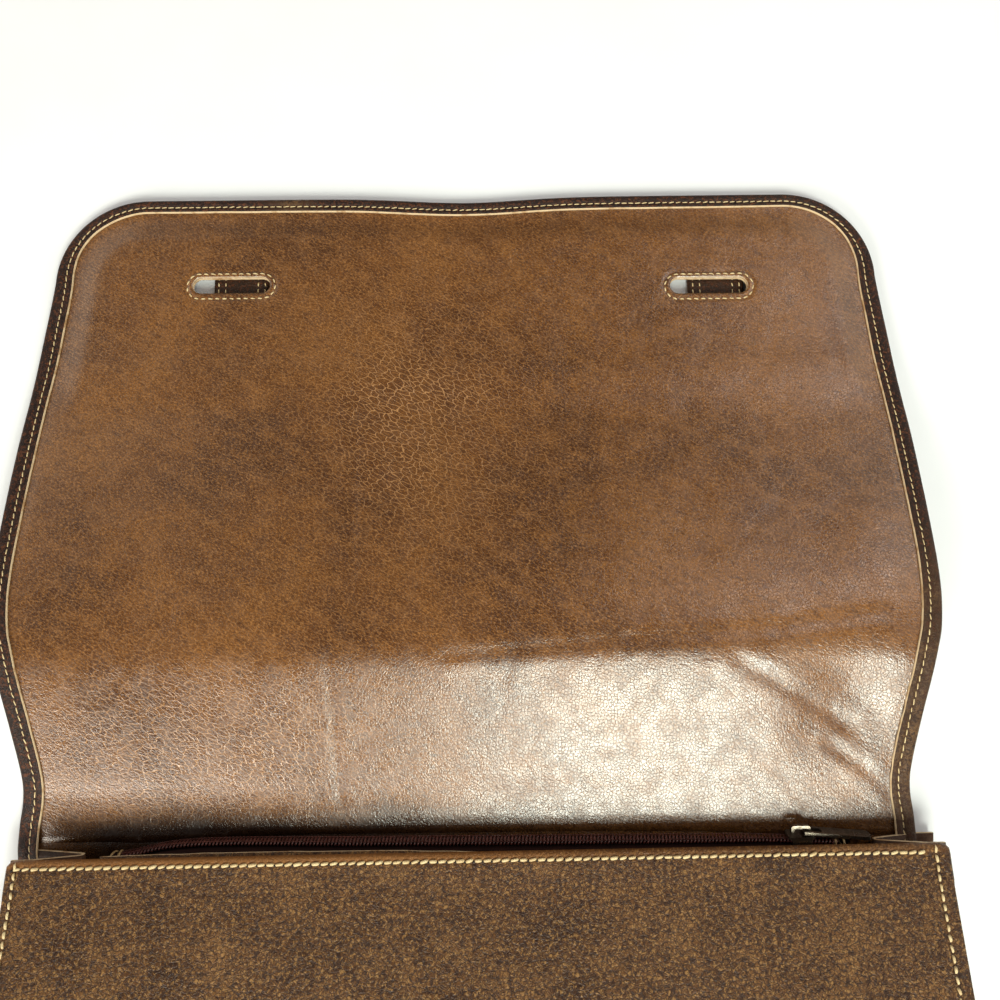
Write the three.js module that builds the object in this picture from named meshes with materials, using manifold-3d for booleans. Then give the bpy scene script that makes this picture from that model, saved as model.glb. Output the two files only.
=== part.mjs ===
// A leather document case lying on its back with its flap folded open, lining side up.
// Millimetres, +Z up, +X to the right. The mouth and the hinge of the flap lie at y = 0 while the
// pieces are made: the body runs towards -Y and the flap towards +Y.
import * as THREE from 'three';
import { mergeVertices } from 'three/addons/utils/BufferGeometryUtils.js';
import Module from 'manifold-3d';

const wasm = await Module();
wasm.setup();

// Body
const panelWidth = 376;
const bodyHeight = 275;
const bodyDepth = 75;
const mouthDepth = 20;
const panelCorner = 8;
const seamFlange = 6.8;
const frontSag = 5;
const bottomBow = 2;
const bottomFold = 1.6;

// Flap
const flapLength = 290;
const flapHalfWidth = 197;
const flapCorner = 41;
const flapHump = 21.5;
const freeEdgeDip = 2.6;
const bindingWidth = 8.5;
const bindingStart = 3;
const liningStart = 8.4;
// The flap lies a little left of the body's middle
const flapShift = -5;

// Leather and cloth thicknesses, and the gap between pieces that touch
const outerLeather = 1.8;
const liningLeather = 1.1;
const bindingLeather = 1.0;
const gussetLeather = 1.4;
const strapLeather = 3.0;
const facingLeather = 1.2;
const tapeCloth = 0.8;
const seamGap = 0.35;

// Folded rim of the front panel
const rimThickness = 3.8;
const rimFold = 13;
const rimFade = 3;
const facingProud = 1.2;
const facingEnd = 12;

// Step of the back panel up to the binding at the hinge: where it starts and how long it is
const hingeStart = 6;
const hingeRise = 8;

// Gussets: half the strip between the two seams, and the radius of its folds
const gussetHalfMouth = 25;
const gussetHalfBottom = 34.8;
const gussetFold = 1.3;

// Slots, straps and staples
const slotOffset = 109.3;
const slotAlong = 245.5;
// The slots sit this far right of the flap's middle, and the right one this much nearer the hinge
const slotShift = 2.2;
const slotSkew = 1.1;
const slotLength = 34;
const slotWidth = 8;
const strapWidth = 25.4;
const strapLength = 60;
const strapBack = 11;
const strapShift = 4;
const strapCorner = 6;
const stapleWire = 2.6;
const stapleHeight = 9;
const staplePlate = 1.2;
const staplePlateMargin = 3.5;
const staplePlateDepth = 14;
const staplePlateCorner = 3;
const stapleBend = 4;
const stapleInnerBend = 1.6;
const strapClearance = 0.3;
const cutMargin = 10;

// Zip
const zipHalf = 147;
const tapeHalf = 152;
const zipBulge = 2;
const tapeSeam = 12;
const coilHalfWidth = 2.4;
const coilHeight = 2;
const sliderInset = 16;
const sliderX = zipHalf - sliderInset;
const sliderHalfLength = 5.5;
const sliderHalfWidth = 4.0;
const sliderPlate = 1.0;
const sliderCorner = 1.6;
const postLength = 3.0;
const postHalfWidth = 0.9;
const crownHalfLength = 3.9;
const crownBar = 1.3;
const crownHole = 2.3;
const crownHalfWidth = 1.1;
const crownCorner = 1.2;
const pullLength = 27;
const pullWidth = 6.5;
const pullThickness = 1.4;
const pullPin = 0.65;
const pullWindow = 6.8;
const pullArm = 1.6;
const pullCorner = 2;
const pullRestAngle = 5;

// Keeps faces apart that would otherwise lie in one plane
const hair = 0.01;

// Sections of the flap from the hinge to its free edge.
// along: share of flapLength, width: share of flapHalfWidth, height: share of flapHump.
const flapSections = [
  { along: 0.00, width: 0.942, height: 0.00 },
  { along: 0.035, width: 0.940, height: 0.025 },
  { along: 0.07, width: 0.932, height: 0.13 },
  { along: 0.10, width: 0.931, height: 0.27 },
  { along: 0.17, width: 0.949, height: 0.59 },
  { along: 0.235, width: 0.969, height: 0.88 },
  { along: 0.265, width: 0.978, height: 0.98 },
  { along: 0.30, width: 0.990, height: 1.00 },
  { along: 0.36, width: 0.999, height: 0.92 },
  { along: 0.45, width: 1.000, height: 0.69 },
  { along: 0.58, width: 0.995, height: 0.34 },
  { along: 0.68, width: 0.983, height: 0.12 },
  { along: 0.76, width: 0.973, height: 0.02 },
  { along: 0.875, width: 0.955, height: 0.00 },
  { along: 1.00, width: 0.950, height: 0.00 },
];

// Soft dents and swellings of the flap, as shares of flapHalfWidth, flapLength and flapHump.
const flapDents = [
  { across: 0.80, along: 0.20, spreadAcross: 0.11, spreadAlong: 0.08, height: -0.13 },
  { across: -0.72, along: 0.30, spreadAcross: 0.20, spreadAlong: 0.12, height: -0.08 },
  { across: 0.15, along: 0.40, spreadAcross: 0.35, spreadAlong: 0.12, height: 0.07 },
  { across: 0.88, along: 0.42, spreadAcross: 0.10, spreadAlong: 0.10, height: 0.06 },
  { across: -0.35, along: 0.62, spreadAcross: 0.25, spreadAlong: 0.12, height: 0.05 },
];

// The dents fade in over the first share of flapLength and out after the second. The straps lift the
// flap from liftStart on, inside its binding.
const dentsFadeIn = 0.12;
const dentsEnd = 0.6;
const dentsFadeOut = 0.15;
const liftStart = 0.62;
const liftFade = 0.1;
const liftInset = 1;
const liftSpread = 12;

// The free edge's dip: its spread as a share of flapHalfWidth, and where it starts along the flap
const dipSpread = 0.18;
const dipTilt = 0.1;
const dipStart = 0.8;

// Sections of the front panel from the mouth to the bottom.
// along: share of bodyHeight, height: share of the rise from mouthDepth to bodyDepth.
const frontSections = [
  { along: 0.00, height: 0.00 },
  { along: 0.06, height: 0.05 },
  { along: 0.20, height: 0.21 },
  { along: 0.40, height: 0.46 },
  { along: 0.60, height: 0.70 },
  { along: 0.80, height: 0.89 },
  { along: 0.92, height: 0.98 },
  { along: 1.00, height: 1.00 },
];

// Soft dents of the front panel, as shares of half its width, bodyHeight and frontSag.
const frontDents = [
  { across: -0.45, along: 0.30, spreadAcross: 0.22, spreadAlong: 0.14, height: -0.45 },
  { across: 0.38, along: 0.58, spreadAcross: 0.26, spreadAlong: 0.16, height: -0.40 },
  { across: 0.70, along: 0.25, spreadAcross: 0.16, spreadAlong: 0.12, height: 0.35 },
  { across: -0.15, along: 0.82, spreadAcross: 0.30, spreadAlong: 0.08, height: 0.30 },
];

// The closed zip from left to right. across: share of zipHalf, out: share of zipBulge,
// height: share of mouthDepth, face: degrees that its outer face looks up from level.
const zipSections = [
  { across: -1.04, out: -1.90, height: 0.47, face: 12 },
  { across: -0.97, out: -1.40, height: 0.47, face: 15 },
  { across: -0.86, out: 0.20, height: 0.46, face: 18 },
  { across: -0.72, out: 0.85, height: 0.46, face: 22 },
  { across: -0.35, out: 0.85, height: 0.45, face: 38 },
  { across: 0.10, out: 0.88, height: 0.45, face: 45 },
  { across: 0.55, out: 0.76, height: 0.45, face: 38 },
  { across: 0.77, out: 0.55, height: 0.45, face: 26 },
  { across: 0.88, out: 0.30, height: 0.45, face: 18 },
  { across: 1.04, out: 0.10, height: 0.45, face: 18 },
];

// Sizes worked out from the ones above
const panelHalf = panelWidth / 2;
const edgeInset = bindingLeather + seamGap;
const strapLift = strapLeather + seamGap - edgeInset;
const flapCornerStart = flapLength - flapCorner;
const coilFloor = tapeCloth / 2 + seamGap;
const coilTop = coilFloor + coilHeight;
const channelHalf = coilHalfWidth + 2 * seamGap;
const tapeStrip = sliderHalfWidth + 2 * seamGap;
const postEnd = sliderX + sliderHalfLength - seamGap;
const postStart = postEnd - postLength;
const pinAlong = crownHalfLength - crownBar - pullPin - seamGap;

// Smooth curve through one column of a table
function tableCurve(rows, key, column, at) {
  const last = rows.length - 1;
  if (at <= rows[0][key]) return rows[0][column];
  if (at >= rows[last][key]) return rows[last][column];
  const i = rows.findIndex((row, index) => index < last && at <= rows[index + 1][key]);
  const slopeAt = (k) => {
    const a = rows[Math.max(k - 1, 0)];
    const b = rows[Math.min(k + 1, last)];
    return (b[column] - a[column]) / (b[key] - a[key]);
  };
  const span = rows[i + 1][key] - rows[i][key];
  const t = (at - rows[i][key]) / span;
  const t2 = t * t;
  const t3 = t2 * t;
  return (2 * t3 - 3 * t2 + 1) * rows[i][column] + (t3 - 2 * t2 + t) * span * slopeAt(i)
    + (3 * t2 - 2 * t3) * rows[i + 1][column] + (t3 - t2) * span * slopeAt(i + 1);
}

function smooth(share) {
  const t = Math.min(Math.max(share, 0), 1);
  return t * t * (3 - 2 * t);
}

function dentSum(dents, across, along) {
  let sum = 0;
  for (const dent of dents) {
    const dx = (across - dent.across) / dent.spreadAcross;
    const dy = (along - dent.along) / dent.spreadAlong;
    sum += dent.height * Math.exp(-(dx * dx + dy * dy));
  }
  return sum;
}

// Half width of the flap at a distance from the hinge, before its corners
function flapSide(y) {
  return flapHalfWidth * tableCurve(flapSections, 'along', 'width', y / flapLength);
}

const cornerCentreX = flapSide(flapCornerStart) - flapCorner;

// The free edge dips in the middle and on the left: its points move back towards the hinge
function edgeDip(x, y) {
  const middle = Math.exp(-((x / (dipSpread * flapHalfWidth)) ** 2));
  const tilt = dipTilt * (1 - x / flapHalfWidth);
  return freeEdgeDip * (middle + tilt) * smooth((y / flapLength - dipStart) / (1 - dipStart));
}

// Distance of a point from the flap's outline. The flap's functions measure x from its own middle.
function insideFlap(x, y) {
  const out = Math.abs(x) - cornerCentreX;
  const up = y - flapCornerStart;
  if (out > 0 && up > 0) return flapCorner - Math.hypot(out, up);
  return Math.min(flapSide(y) - Math.abs(x), flapLength - y);
}

// Underside of the one sheet that is the back panel and the outer leather of the flap
function leatherUnder(x, y) {
  const hinge = edgeInset * smooth((y + hingeStart) / hingeRise);
  if (y <= 0) return hinge;
  const along = y / flapLength;
  const hump = flapHump * Math.max(tableCurve(flapSections, 'along', 'height', along), 0);
  const dents = flapHump * dentSum(flapDents, x / flapHalfWidth, along) * smooth(along / dentsFadeIn);
  const inside = insideFlap(x, y) - bindingWidth - liftInset;
  const straps = strapLift * smooth((along - liftStart) / liftFade) * smooth(inside / liftSpread);
  return hinge + hump + dents * (1 - smooth((along - dentsEnd) / dentsFadeOut)) + straps;
}

// Top of the front panel; y is negative from the mouth to the bottom
function frontTop(x, y) {
  const along = -Math.min(y, 0) / bodyHeight;
  const across = x / panelHalf;
  const rise = (bodyDepth - mouthDepth) * tableCurve(frontSections, 'along', 'height', along);
  const sag = frontSag * (1 - across * across) * Math.sin(Math.PI * along);
  const dents = frontSag * dentSum(frontDents, across, along) * smooth(along / 0.12);
  const still = 1 - smooth((along - 0.9) / 0.1);
  return mouthDepth + rise - sag + dents * still * smooth((1 - Math.abs(across)) / 0.15);
}

function frontThickness(y) {
  return outerLeather + (rimThickness - outerLeather) * smooth((y + rimFold + rimFade) / rimFade);
}

function frontUnder(x, y) {
  return frontTop(x, y) - frontThickness(y);
}

// One closed body from sections that each hold an outer and an inner list of points. Both sides
// split their faces along the same diagonals, so sheets on one grid lie on each other evenly.
function sheetSolid(sections) {
  const count = sections[0].outer.length;
  const ring = 2 * count;
  const positions = [];
  for (const section of sections) {
    for (const p of section.outer) positions.push(...p);
    for (const p of [...section.inner].reverse()) positions.push(...p);
  }
  const index = [];
  const quad = (a, b, c, d) => index.push(a, b, c, a, c, d);
  for (let i = 0; i + 1 < sections.length; i += 1) {
    for (let j = 0; j < ring; j += 1) {
      const k = (j + 1) % ring;
      const corners = [i * ring + j, i * ring + k, (i + 1) * ring + k, (i + 1) * ring + j];
      if (j >= count) corners.push(corners.shift());
      quad(...corners);
    }
  }
  const end = (sections.length - 1) * ring;
  for (let j = 0; j + 1 < count; j += 1) {
    const across = ring - 1 - j;
    quad(j, across, across - 1, j + 1);
    quad(end + j, end + j + 1, end + across - 1, end + across);
  }
  const geometry = new THREE.BufferGeometry();
  geometry.setAttribute('position', new THREE.Float32BufferAttribute(positions, 3));
  geometry.setIndex(index);
  if (signedVolume(geometry) < 0) geometry.index.array.reverse();
  return geometry;
}

function signedVolume(geometry) {
  const corners = [0, 1, 2].map(() => new THREE.Vector3());
  let sum = 0;
  for (let i = 0; i < geometry.index.count; i += 3) {
    corners.forEach((corner, k) => {
      corner.fromBufferAttribute(geometry.attributes.position, geometry.index.getX(i + k));
    });
    sum += corners[0].dot(corners[1].clone().cross(corners[2]));
  }
  return sum;
}

// Thin strip of a flat curve: its points moved to both sides by half the thickness
function stripSection(points, thickness) {
  const outer = [];
  const inner = [];
  points.forEach((p, i) => {
    const a = points[Math.max(i - 1, 0)];
    const b = points[Math.min(i + 1, points.length - 1)];
    const length = Math.hypot(b[0] - a[0], b[1] - a[1]);
    const nx = -(b[1] - a[1]) / length * thickness / 2;
    const ny = (b[0] - a[0]) / length * thickness / 2;
    outer.push([p[0] + nx, p[1] + ny]);
    inner.push([p[0] - nx, p[1] - ny]);
  });
  return { outer, inner };
}

// Flat curve through corner points, each corner rounded by an arc-like bend
function roundedPath(corners, radius, steps) {
  const path = [corners[0]];
  for (let i = 1; i + 1 < corners.length; i += 1) {
    const here = new THREE.Vector2(...corners[i]);
    const back = new THREE.Vector2(...corners[i - 1]).sub(here).normalize();
    const ahead = new THREE.Vector2(...corners[i + 1]).sub(here).normalize();
    const half = Math.acos(Math.min(Math.max(back.dot(ahead), -1), 1)) / 2;
    const reach = radius / Math.tan(half);
    const centre = back.clone().add(ahead).normalize().multiplyScalar(radius / Math.sin(half)).add(here);
    const start = back.clone().multiplyScalar(reach).add(here).sub(centre);
    const turn = Math.sign(start.cross(ahead.clone().multiplyScalar(reach).add(here).sub(centre)));
    for (let k = 0; k <= steps; k += 1) {
      const angle = turn * (Math.PI - 2 * half) * k / steps;
      const point = start.clone().rotateAround(new THREE.Vector2(), angle).add(centre);
      path.push([point.x, point.y]);
    }
  }
  path.push(corners[corners.length - 1]);
  return path;
}

// Booleans
function toSolid(geometry) {
  const bare = geometry.clone();
  bare.deleteAttribute('normal');
  bare.deleteAttribute('uv');
  const merged = mergeVertices(bare, 1e-4);
  return new wasm.Manifold(new wasm.Mesh({
    numProp: 3,
    vertProperties: new Float32Array(merged.attributes.position.array),
    triVerts: new Uint32Array(merged.index.array),
  }));
}

function toGeometry(solid) {
  const mesh = solid.getMesh();
  const geometry = new THREE.BufferGeometry();
  geometry.setAttribute('position', new THREE.BufferAttribute(new Float32Array(mesh.vertProperties), 3));
  geometry.setIndex(new THREE.BufferAttribute(new Uint32Array(mesh.triVerts), 1));
  return geometry;
}

function boxBetween(x0, x1, y0, y1, z0, z1) {
  const box = new THREE.BoxGeometry(x1 - x0, y1 - y0, z1 - z0);
  return box.translate((x0 + x1) / 2, (y0 + y1) / 2, (z0 + z1) / 2);
}

// Rectangle with round corners, centred on the origin
function roundedRectangle(width, height, radius, Kind = THREE.Shape) {
  const shape = new Kind();
  const x = width / 2 - radius;
  const y = height / 2 - radius;
  shape.absarc(x, y, radius, 0, Math.PI / 2);
  shape.absarc(-x, y, radius, Math.PI / 2, Math.PI);
  shape.absarc(-x, -y, radius, Math.PI, 1.5 * Math.PI);
  shape.absarc(x, -y, radius, 1.5 * Math.PI, 2 * Math.PI);
  shape.closePath();
  return shape;
}

// Rows of a sheet that ends in the flap's rounded corners
function flapRows(start, inset) {
  const shares = [0.05, 0.08, 0.11, 0.15, 0.19, 0.22, 0.245, 0.27, 0.3, 0.34, 0.39, 0.45, 0.52, 0.6, 0.68,
    0.75, 0.82];
  const rows = [bindingStart, liningStart, ...shares.map((share) => share * flapLength)]
    .filter((y) => y >= start).map((y) => ({ y, half: flapSide(y) - inset, shift: flapShift }));
  const radius = flapCorner - inset;
  for (const degrees of [0, 15, 30, 45, 60, 75, 90]) {
    const angle = THREE.MathUtils.degToRad(degrees);
    rows.push({
      y: flapCornerStart + radius * Math.sin(angle),
      half: cornerCentreX + radius * Math.cos(angle),
      shift: flapShift,
    });
  }
  return rows;
}

// Places across a sheet, as shares of its half width: closer together near its sides
const columns = [-1, -0.955, -0.89, -0.74, -0.5, -0.25, 0, 0.25, 0.5, 0.74, 0.89, 0.955, 1];

// Sheet over rows of y and half width, between two height functions. A row's middle may be shifted.
function layeredSheet(rows, under, top) {
  return sheetSolid(rows.map(({ y, half, shift = 0 }) => {
    const points = columns.map((u) => u * half);
    return {
      outer: points.map((x) => [x + shift, y - edgeDip(x, y), top(x, y)]),
      inner: points.map((x) => [x + shift, y - edgeDip(x, y), under(x, y)]),
    };
  }));
}

// Rows of a body panel's bottom end, with small rounded corners
function panelEndRows() {
  return [90, 60, 30, 0].map((degrees) => {
    const angle = THREE.MathUtils.degToRad(degrees);
    return {
      y: -bodyHeight + panelCorner - panelCorner * Math.sin(angle),
      half: panelHalf - panelCorner + panelCorner * Math.cos(angle),
    };
  });
}

// Middle of a slot: x from the body's middle, and its distance from the hinge
function slotPlace(side) {
  return { x: flapShift + slotShift + side * slotOffset, y: slotAlong - side * slotSkew };
}

function cutSlots(geometry) {
  const outline = roundedRectangle(slotLength, slotWidth, slotWidth / 2 - hair);
  const depth = flapHump + 2 * cutMargin;
  let solid = toSolid(geometry);
  for (const side of [-1, 1]) {
    const slot = slotPlace(side);
    const cutter = new THREE.ExtrudeGeometry(outline, { depth, bevelEnabled: false, curveSegments: 6 });
    cutter.translate(slot.x, slot.y, -cutMargin);
    solid = solid.subtract(toSolid(cutter));
  }
  return toGeometry(solid);
}

function backAndFlap() {
  const hinge = [
    { y: -hingeStart, half: panelHalf },
    { y: -hingeStart / 2, half: panelHalf },
    { y: -seamGap, half: panelHalf - seamGap },
    { y: bindingStart - 1, half: flapSide(bindingStart) - edgeInset, shift: flapShift },
  ];
  const rows = [...panelEndRows(), ...hinge, ...flapRows(bindingStart, edgeInset)];
  const top = (x, y) => leatherUnder(x, y) + outerLeather;
  return cutSlots(layeredSheet(rows, leatherUnder, top));
}

function liningUnder(x, y) {
  return leatherUnder(x, y) + outerLeather + seamGap;
}

function liningTop(x, y) {
  return liningUnder(x, y) + liningLeather;
}

function flapLining() {
  return cutSlots(layeredSheet(flapRows(liningStart, edgeInset), liningUnder, liningTop));
}

// Outline of the flap from the right end of the hinge round to the left end, with inward normals
function flapOutline() {
  const side = flapRows(bindingStart, 0).filter(({ y }) => y <= flapCornerStart + hair);
  const right = side.map(({ y, half }) => {
    const slope = (flapSide(y + 1) - flapSide(y - 1)) / 2;
    const length = Math.hypot(1, slope);
    return { x: half, y, nx: -1 / length, ny: slope / length };
  });
  for (const degrees of [15, 30, 45, 60, 75, 90]) {
    const angle = THREE.MathUtils.degToRad(degrees);
    right.push({
      x: cornerCentreX + flapCorner * Math.cos(angle),
      y: flapCornerStart + flapCorner * Math.sin(angle),
      nx: -Math.cos(angle),
      ny: -Math.sin(angle),
    });
  }
  const middle = columns.slice(1, -1).reverse().map((share) => (
    { x: share * cornerCentreX, y: flapLength, nx: 0, ny: -1 }));
  const left = right.map(({ x, y, nx, ny }) => ({ x: -x, y, nx: -nx, ny })).reverse();
  return [...right, ...middle, ...left];
}

// Strip folded over the edges of the flap's two leathers
function flapBinding() {
  const sections = flapOutline().map(({ x, y, nx, ny }) => {
    const at = (inward, level) => {
      const px = x + nx * inward;
      const py = y + ny * inward;
      const low = leatherUnder(px, py) - seamGap;
      const high = liningTop(px, py) + seamGap;
      const z = level < 0 ? low + (level + 1) * bindingLeather : high + (level - 1) * bindingLeather;
      return [px + flapShift, py - edgeDip(px, py), z];
    };
    const t = bindingLeather;
    return {
      outer: [at(bindingWidth, -2), at(t, -2), at(0, -1.4), at(0, 1.4), at(t, 2), at(bindingWidth, 2)],
      inner: [at(bindingWidth, -1), at(t * 1.3, -1), at(t, -0.9), at(t, 0.9), at(t * 1.3, 1),
        at(bindingWidth, 1)],
    };
  });
  return sheetSolid(sections);
}

const frontRowPlaces = [-1, -2, -rimFold, -rimFold - rimFade,
  ...[0.12, 0.21, 0.32, 0.44, 0.56, 0.68, 0.8, 0.91].map((share) => -share * bodyHeight)];

function frontPanel() {
  const rows = [{ y: 0, half: panelHalf, round: 0.3 }];
  frontRowPlaces.forEach((y) => rows.push({ y, half: panelHalf, round: y > -1.5 ? 0.1 : 0 }));
  rows.push(...panelEndRows().reverse());
  const round = (y) => (rows.find((row) => row.y === y).round ?? 0) * rimThickness;
  return layeredSheet(rows, (x, y) => frontUnder(x, y) + round(y), (x, y) => frontTop(x, y) - round(y));
}

// Leather strip under the rim that covers the seam of the zip; its raw edge stands proud
function facingTop(x, y) {
  return frontTop(x, Math.min(y, 0)) - rimThickness - seamGap;
}

function frontFacing() {
  const rows = [facingProud, -1, -facingEnd].map((y) => ({ y, half: tapeHalf }));
  return layeredSheet(rows, (x, y) => facingTop(x, y) - facingLeather, facingTop);
}

// Side gusset: a strip sewn to both panels, folded inwards as a V that closes towards the mouth
function sideGusset(side) {
  const inner = -bodyHeight + seamFlange + outerLeather / 2 + 2 * seamGap + outerLeather / 2;
  const places = [-0.4, ...frontRowPlaces.slice(1).filter((y) => y > inner + 1), inner];
  const sections = places.map((y) => {
    const high = frontUnder(panelHalf, y) - seamGap - gussetLeather / 2;
    const low = outerLeather + leatherUnder(panelHalf, y) + seamGap + gussetLeather / 2;
    const share = -y / bodyHeight;
    const half = gussetHalfMouth + (gussetHalfBottom - gussetHalfMouth) * share;
    const gap = (high - low) / 2;
    const depth = Math.sqrt(Math.max(half * half - gap * gap, 4));
    const edge = panelHalf - 0.2;
    const bend = panelHalf - seamFlange;
    const corners = [[edge, high], [bend, high], [bend - depth, (high + low) / 2], [bend, low], [edge, low]];
    const strip = stripSection(roundedPath(corners, gussetFold, 3), gussetLeather);
    const place = ([x, z]) => [side * x, y, z];
    return { outer: strip.outer.map(place), inner: strip.inner.map(place) };
  });
  return sheetSolid(sections);
}

// Bottom of the body: an upright strip with a seam flange turned out along each long edge
function bottomPanel() {
  const wall = -bodyHeight + seamFlange;
  const reach = panelHalf - seamFlange;
  const sections = columns.map((u) => {
    const x = u * reach;
    const high = (y) => frontUnder(x, y) - seamGap - outerLeather / 2;
    const low = 1.5 * outerLeather + seamGap;
    const edge = -bodyHeight + 0.2;
    const bow = 0.3 + bottomBow * (1 - u * u);
    const middle = (high(wall) + low) / 2;
    const corners = [[edge, high(edge)], [wall, high(wall)], [wall - bow, middle], [wall, low], [edge, low]];
    const strip = stripSection(roundedPath(corners, bottomFold, 2), outerLeather);
    const place = ([y, z]) => [x, y, z];
    return { outer: strip.outer.map(place), inner: strip.inner.map(place) };
  });
  return sheetSolid(sections);
}

// Place and direction of the zip at x: the middle of its tapes, and which way its face looks
function zipAt(x) {
  const across = x / zipHalf;
  const face = THREE.MathUtils.degToRad(tableCurve(zipSections, 'across', 'face', across));
  const y = zipBulge * tableCurve(zipSections, 'across', 'out', across);
  const z = mouthDepth * tableCurve(zipSections, 'across', 'height', across);
  const normal = [Math.cos(face), Math.sin(face)];
  const back = [Math.sin(face), -Math.cos(face)];
  return {
    face,
    point: (along, up) => [y + back[0] * along + normal[0] * up, z + back[1] * along + normal[1] * up],
  };
}

const zipStations = [-1.03, -0.98, -0.85, -0.7, -0.55, -0.4, -0.25, -0.08, 0.1, 0.27, 0.42, 0.55, 0.66, 0.76,
  0.86].map((share) => share * zipHalf);
const stationsPastSlider = [postStart - 2 * seamGap, postEnd, sliderX + 1.6 * sliderHalfLength, zipHalf,
  tapeHalf];

// Distance of a tape's inner edge from the middle: the tapes part at the slider's post
function tapeEdge(x) {
  return x < postStart - 3 * seamGap ? 0.25 : postHalfWidth + seamGap;
}

// Half width of the straight stretch of the tapes: the coil's, and the slider's where it sits
function stripReach(x) {
  const near = 1 - smooth((Math.abs(x - sliderX) - sliderHalfLength - 1) / 8);
  return coilHalfWidth + seamGap + (tapeStrip - coilHalfWidth - seamGap) * near;
}

function bezierPoints(a, b, c, d, steps) {
  const curve = new THREE.CubicBezierCurve(
    ...[a, b, c, d].map(([u, v]) => new THREE.Vector2(u, v)));
  return curve.getPoints(steps).map((p) => [p.x, p.y]);
}

function tapeSolid(pathAt) {
  const stations = [...zipStations, postStart - 6 * seamGap, ...stationsPastSlider];
  return sheetSolid(stations.map((x) => {
    const strip = stripSection(pathAt(x), tapeCloth);
    const place = ([y, z]) => [x, y, z];
    return { outer: strip.outer.map(place), inner: strip.inner.map(place) };
  }));
}

// Front tape: from its seam under the rim, out past the facing and down to the coil
function frontTape() {
  return tapeSolid((x) => {
    const zip = zipAt(x);
    const seamLevel = (y) => facingTop(x, y) - facingLeather - seamGap - tapeCloth / 2;
    const reach = stripReach(x);
    const strip = zip.point(-reach, 0);
    const startY = Math.min(-1, strip[0] - 1);
    const start = [startY, seamLevel(startY)];
    const bend = bezierPoints(start, [start[0] + 2, start[1]], zip.point(-reach - 1, 0), strip, 4);
    return [[-tapeSeam, seamLevel(-tapeSeam)], ...bend, zip.point(-tapeEdge(x), 0)];
  });
}

// Back tape: from the coil down behind it and back along the hinge into the body
function backTape() {
  return tapeSolid((x) => {
    const zip = zipAt(x);
    const seamLevel = (y) => leatherUnder(x - flapShift, y) + outerLeather + seamGap + tapeCloth / 2;
    const reach = stripReach(x);
    const strip = zip.point(reach, 0);
    const startY = Math.min(-3, strip[0] - 3);
    const start = [startY, seamLevel(startY)];
    const flat = Math.max(strip[0] - 2.5, 0);
    const bend = bezierPoints(start, [flat + 1, seamLevel(flat) + 0.3], zip.point(reach + 0.8, 0), strip, 5);
    return [[-tapeSeam, seamLevel(-tapeSeam)], ...bend, zip.point(tapeEdge(x), 0)];
  });
}

function coilSection(x, from, to) {
  const zip = zipAt(x);
  const middle = (from + to) / 2;
  const half = (to - from) / 2;
  const shape = [[-1, 0.25], [-0.8, 0.8], [-0.35, 1], [0.35, 1], [0.8, 0.8], [1, 0.25]];
  const place = ([y, z]) => [x, y, z];
  return {
    outer: shape.map(([u, v]) => place(zip.point(middle + u * half, coilFloor + v * coilHeight))),
    inner: shape.map(([u]) => place(zip.point(middle + u * half, coilFloor))),
  };
}

function closedCoil() {
  const stations = [...zipStations, postStart - 2 * seamGap].filter((x) => x > -zipHalf);
  return sheetSolid(stations.map((x) => coilSection(x, -coilHalfWidth, coilHalfWidth)));
}

// The open rows past the slider
function openCoil(side) {
  const near = postHalfWidth + seamGap;
  const far = channelHalf - seamGap;
  return sheetSolid(stationsPastSlider.slice(0, 4).map((x, i) => (
    coilSection(x + (i === 0 ? seamGap : 0), ...(side < 0 ? [-far, -near] : [near, far])))));
}

// Slider in its own frame: x along the zip, y across it towards the back tape, z out of its face
function zipSlider() {
  const plateTop = coilTop + seamGap;
  const plateBottom = -coilFloor;
  const outline = roundedRectangle(2 * sliderHalfLength, 2 * sliderHalfWidth, sliderCorner);
  const plate = (z) => new THREE.ExtrudeGeometry(outline,
    { depth: sliderPlate, bevelEnabled: false, curveSegments: 4 }).translate(0, 0, z);
  const post = boxBetween(postStart - sliderX, postEnd - sliderX, -postHalfWidth, postHalfWidth,
    plateBottom - sliderPlate / 2, plateTop + sliderPlate / 2);
  const flangeHalf = sliderHalfLength - sliderCorner - hair;
  const flange = (side) => boxBetween(-flangeHalf, flangeHalf,
    side > 0 ? channelHalf : -sliderHalfWidth + hair, side > 0 ? sliderHalfWidth - hair : -channelHalf,
    coilFloor, plateTop + sliderPlate / 2);
  const crownShape = new THREE.Shape();
  const top = crownHole + crownBar;
  crownShape.moveTo(-crownHalfLength, -sliderPlate / 2);
  crownShape.lineTo(crownHalfLength, -sliderPlate / 2);
  const bend = crownHalfLength - crownCorner;
  crownShape.absarc(bend, top - crownCorner, crownCorner, 0, Math.PI / 2);
  crownShape.absarc(-bend, top - crownCorner, crownCorner, Math.PI / 2, Math.PI);
  crownShape.closePath();
  const window = new THREE.Path();
  const side = crownHalfLength - crownBar;
  window.moveTo(-side, 0);
  window.lineTo(side, 0);
  window.lineTo(side, crownHole);
  window.lineTo(-side, crownHole);
  window.closePath();
  crownShape.holes.push(window);
  const crown = new THREE.ExtrudeGeometry(crownShape,
    { depth: 2 * crownHalfWidth, bevelEnabled: false, curveSegments: 3 });
  crown.translate(0, 0, -crownHalfWidth).rotateX(Math.PI / 2).translate(0, 0, plateTop + sliderPlate);
  const pieces = [plate(plateBottom - sliderPlate), post, flange(1), flange(-1), crown];
  return toGeometry(pieces.reduce((solid, piece) => solid.add(toSolid(piece)), toSolid(plate(plateTop))));
}

const pinHeight = coilTop + seamGap + sliderPlate + crownHole / 2;

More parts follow.
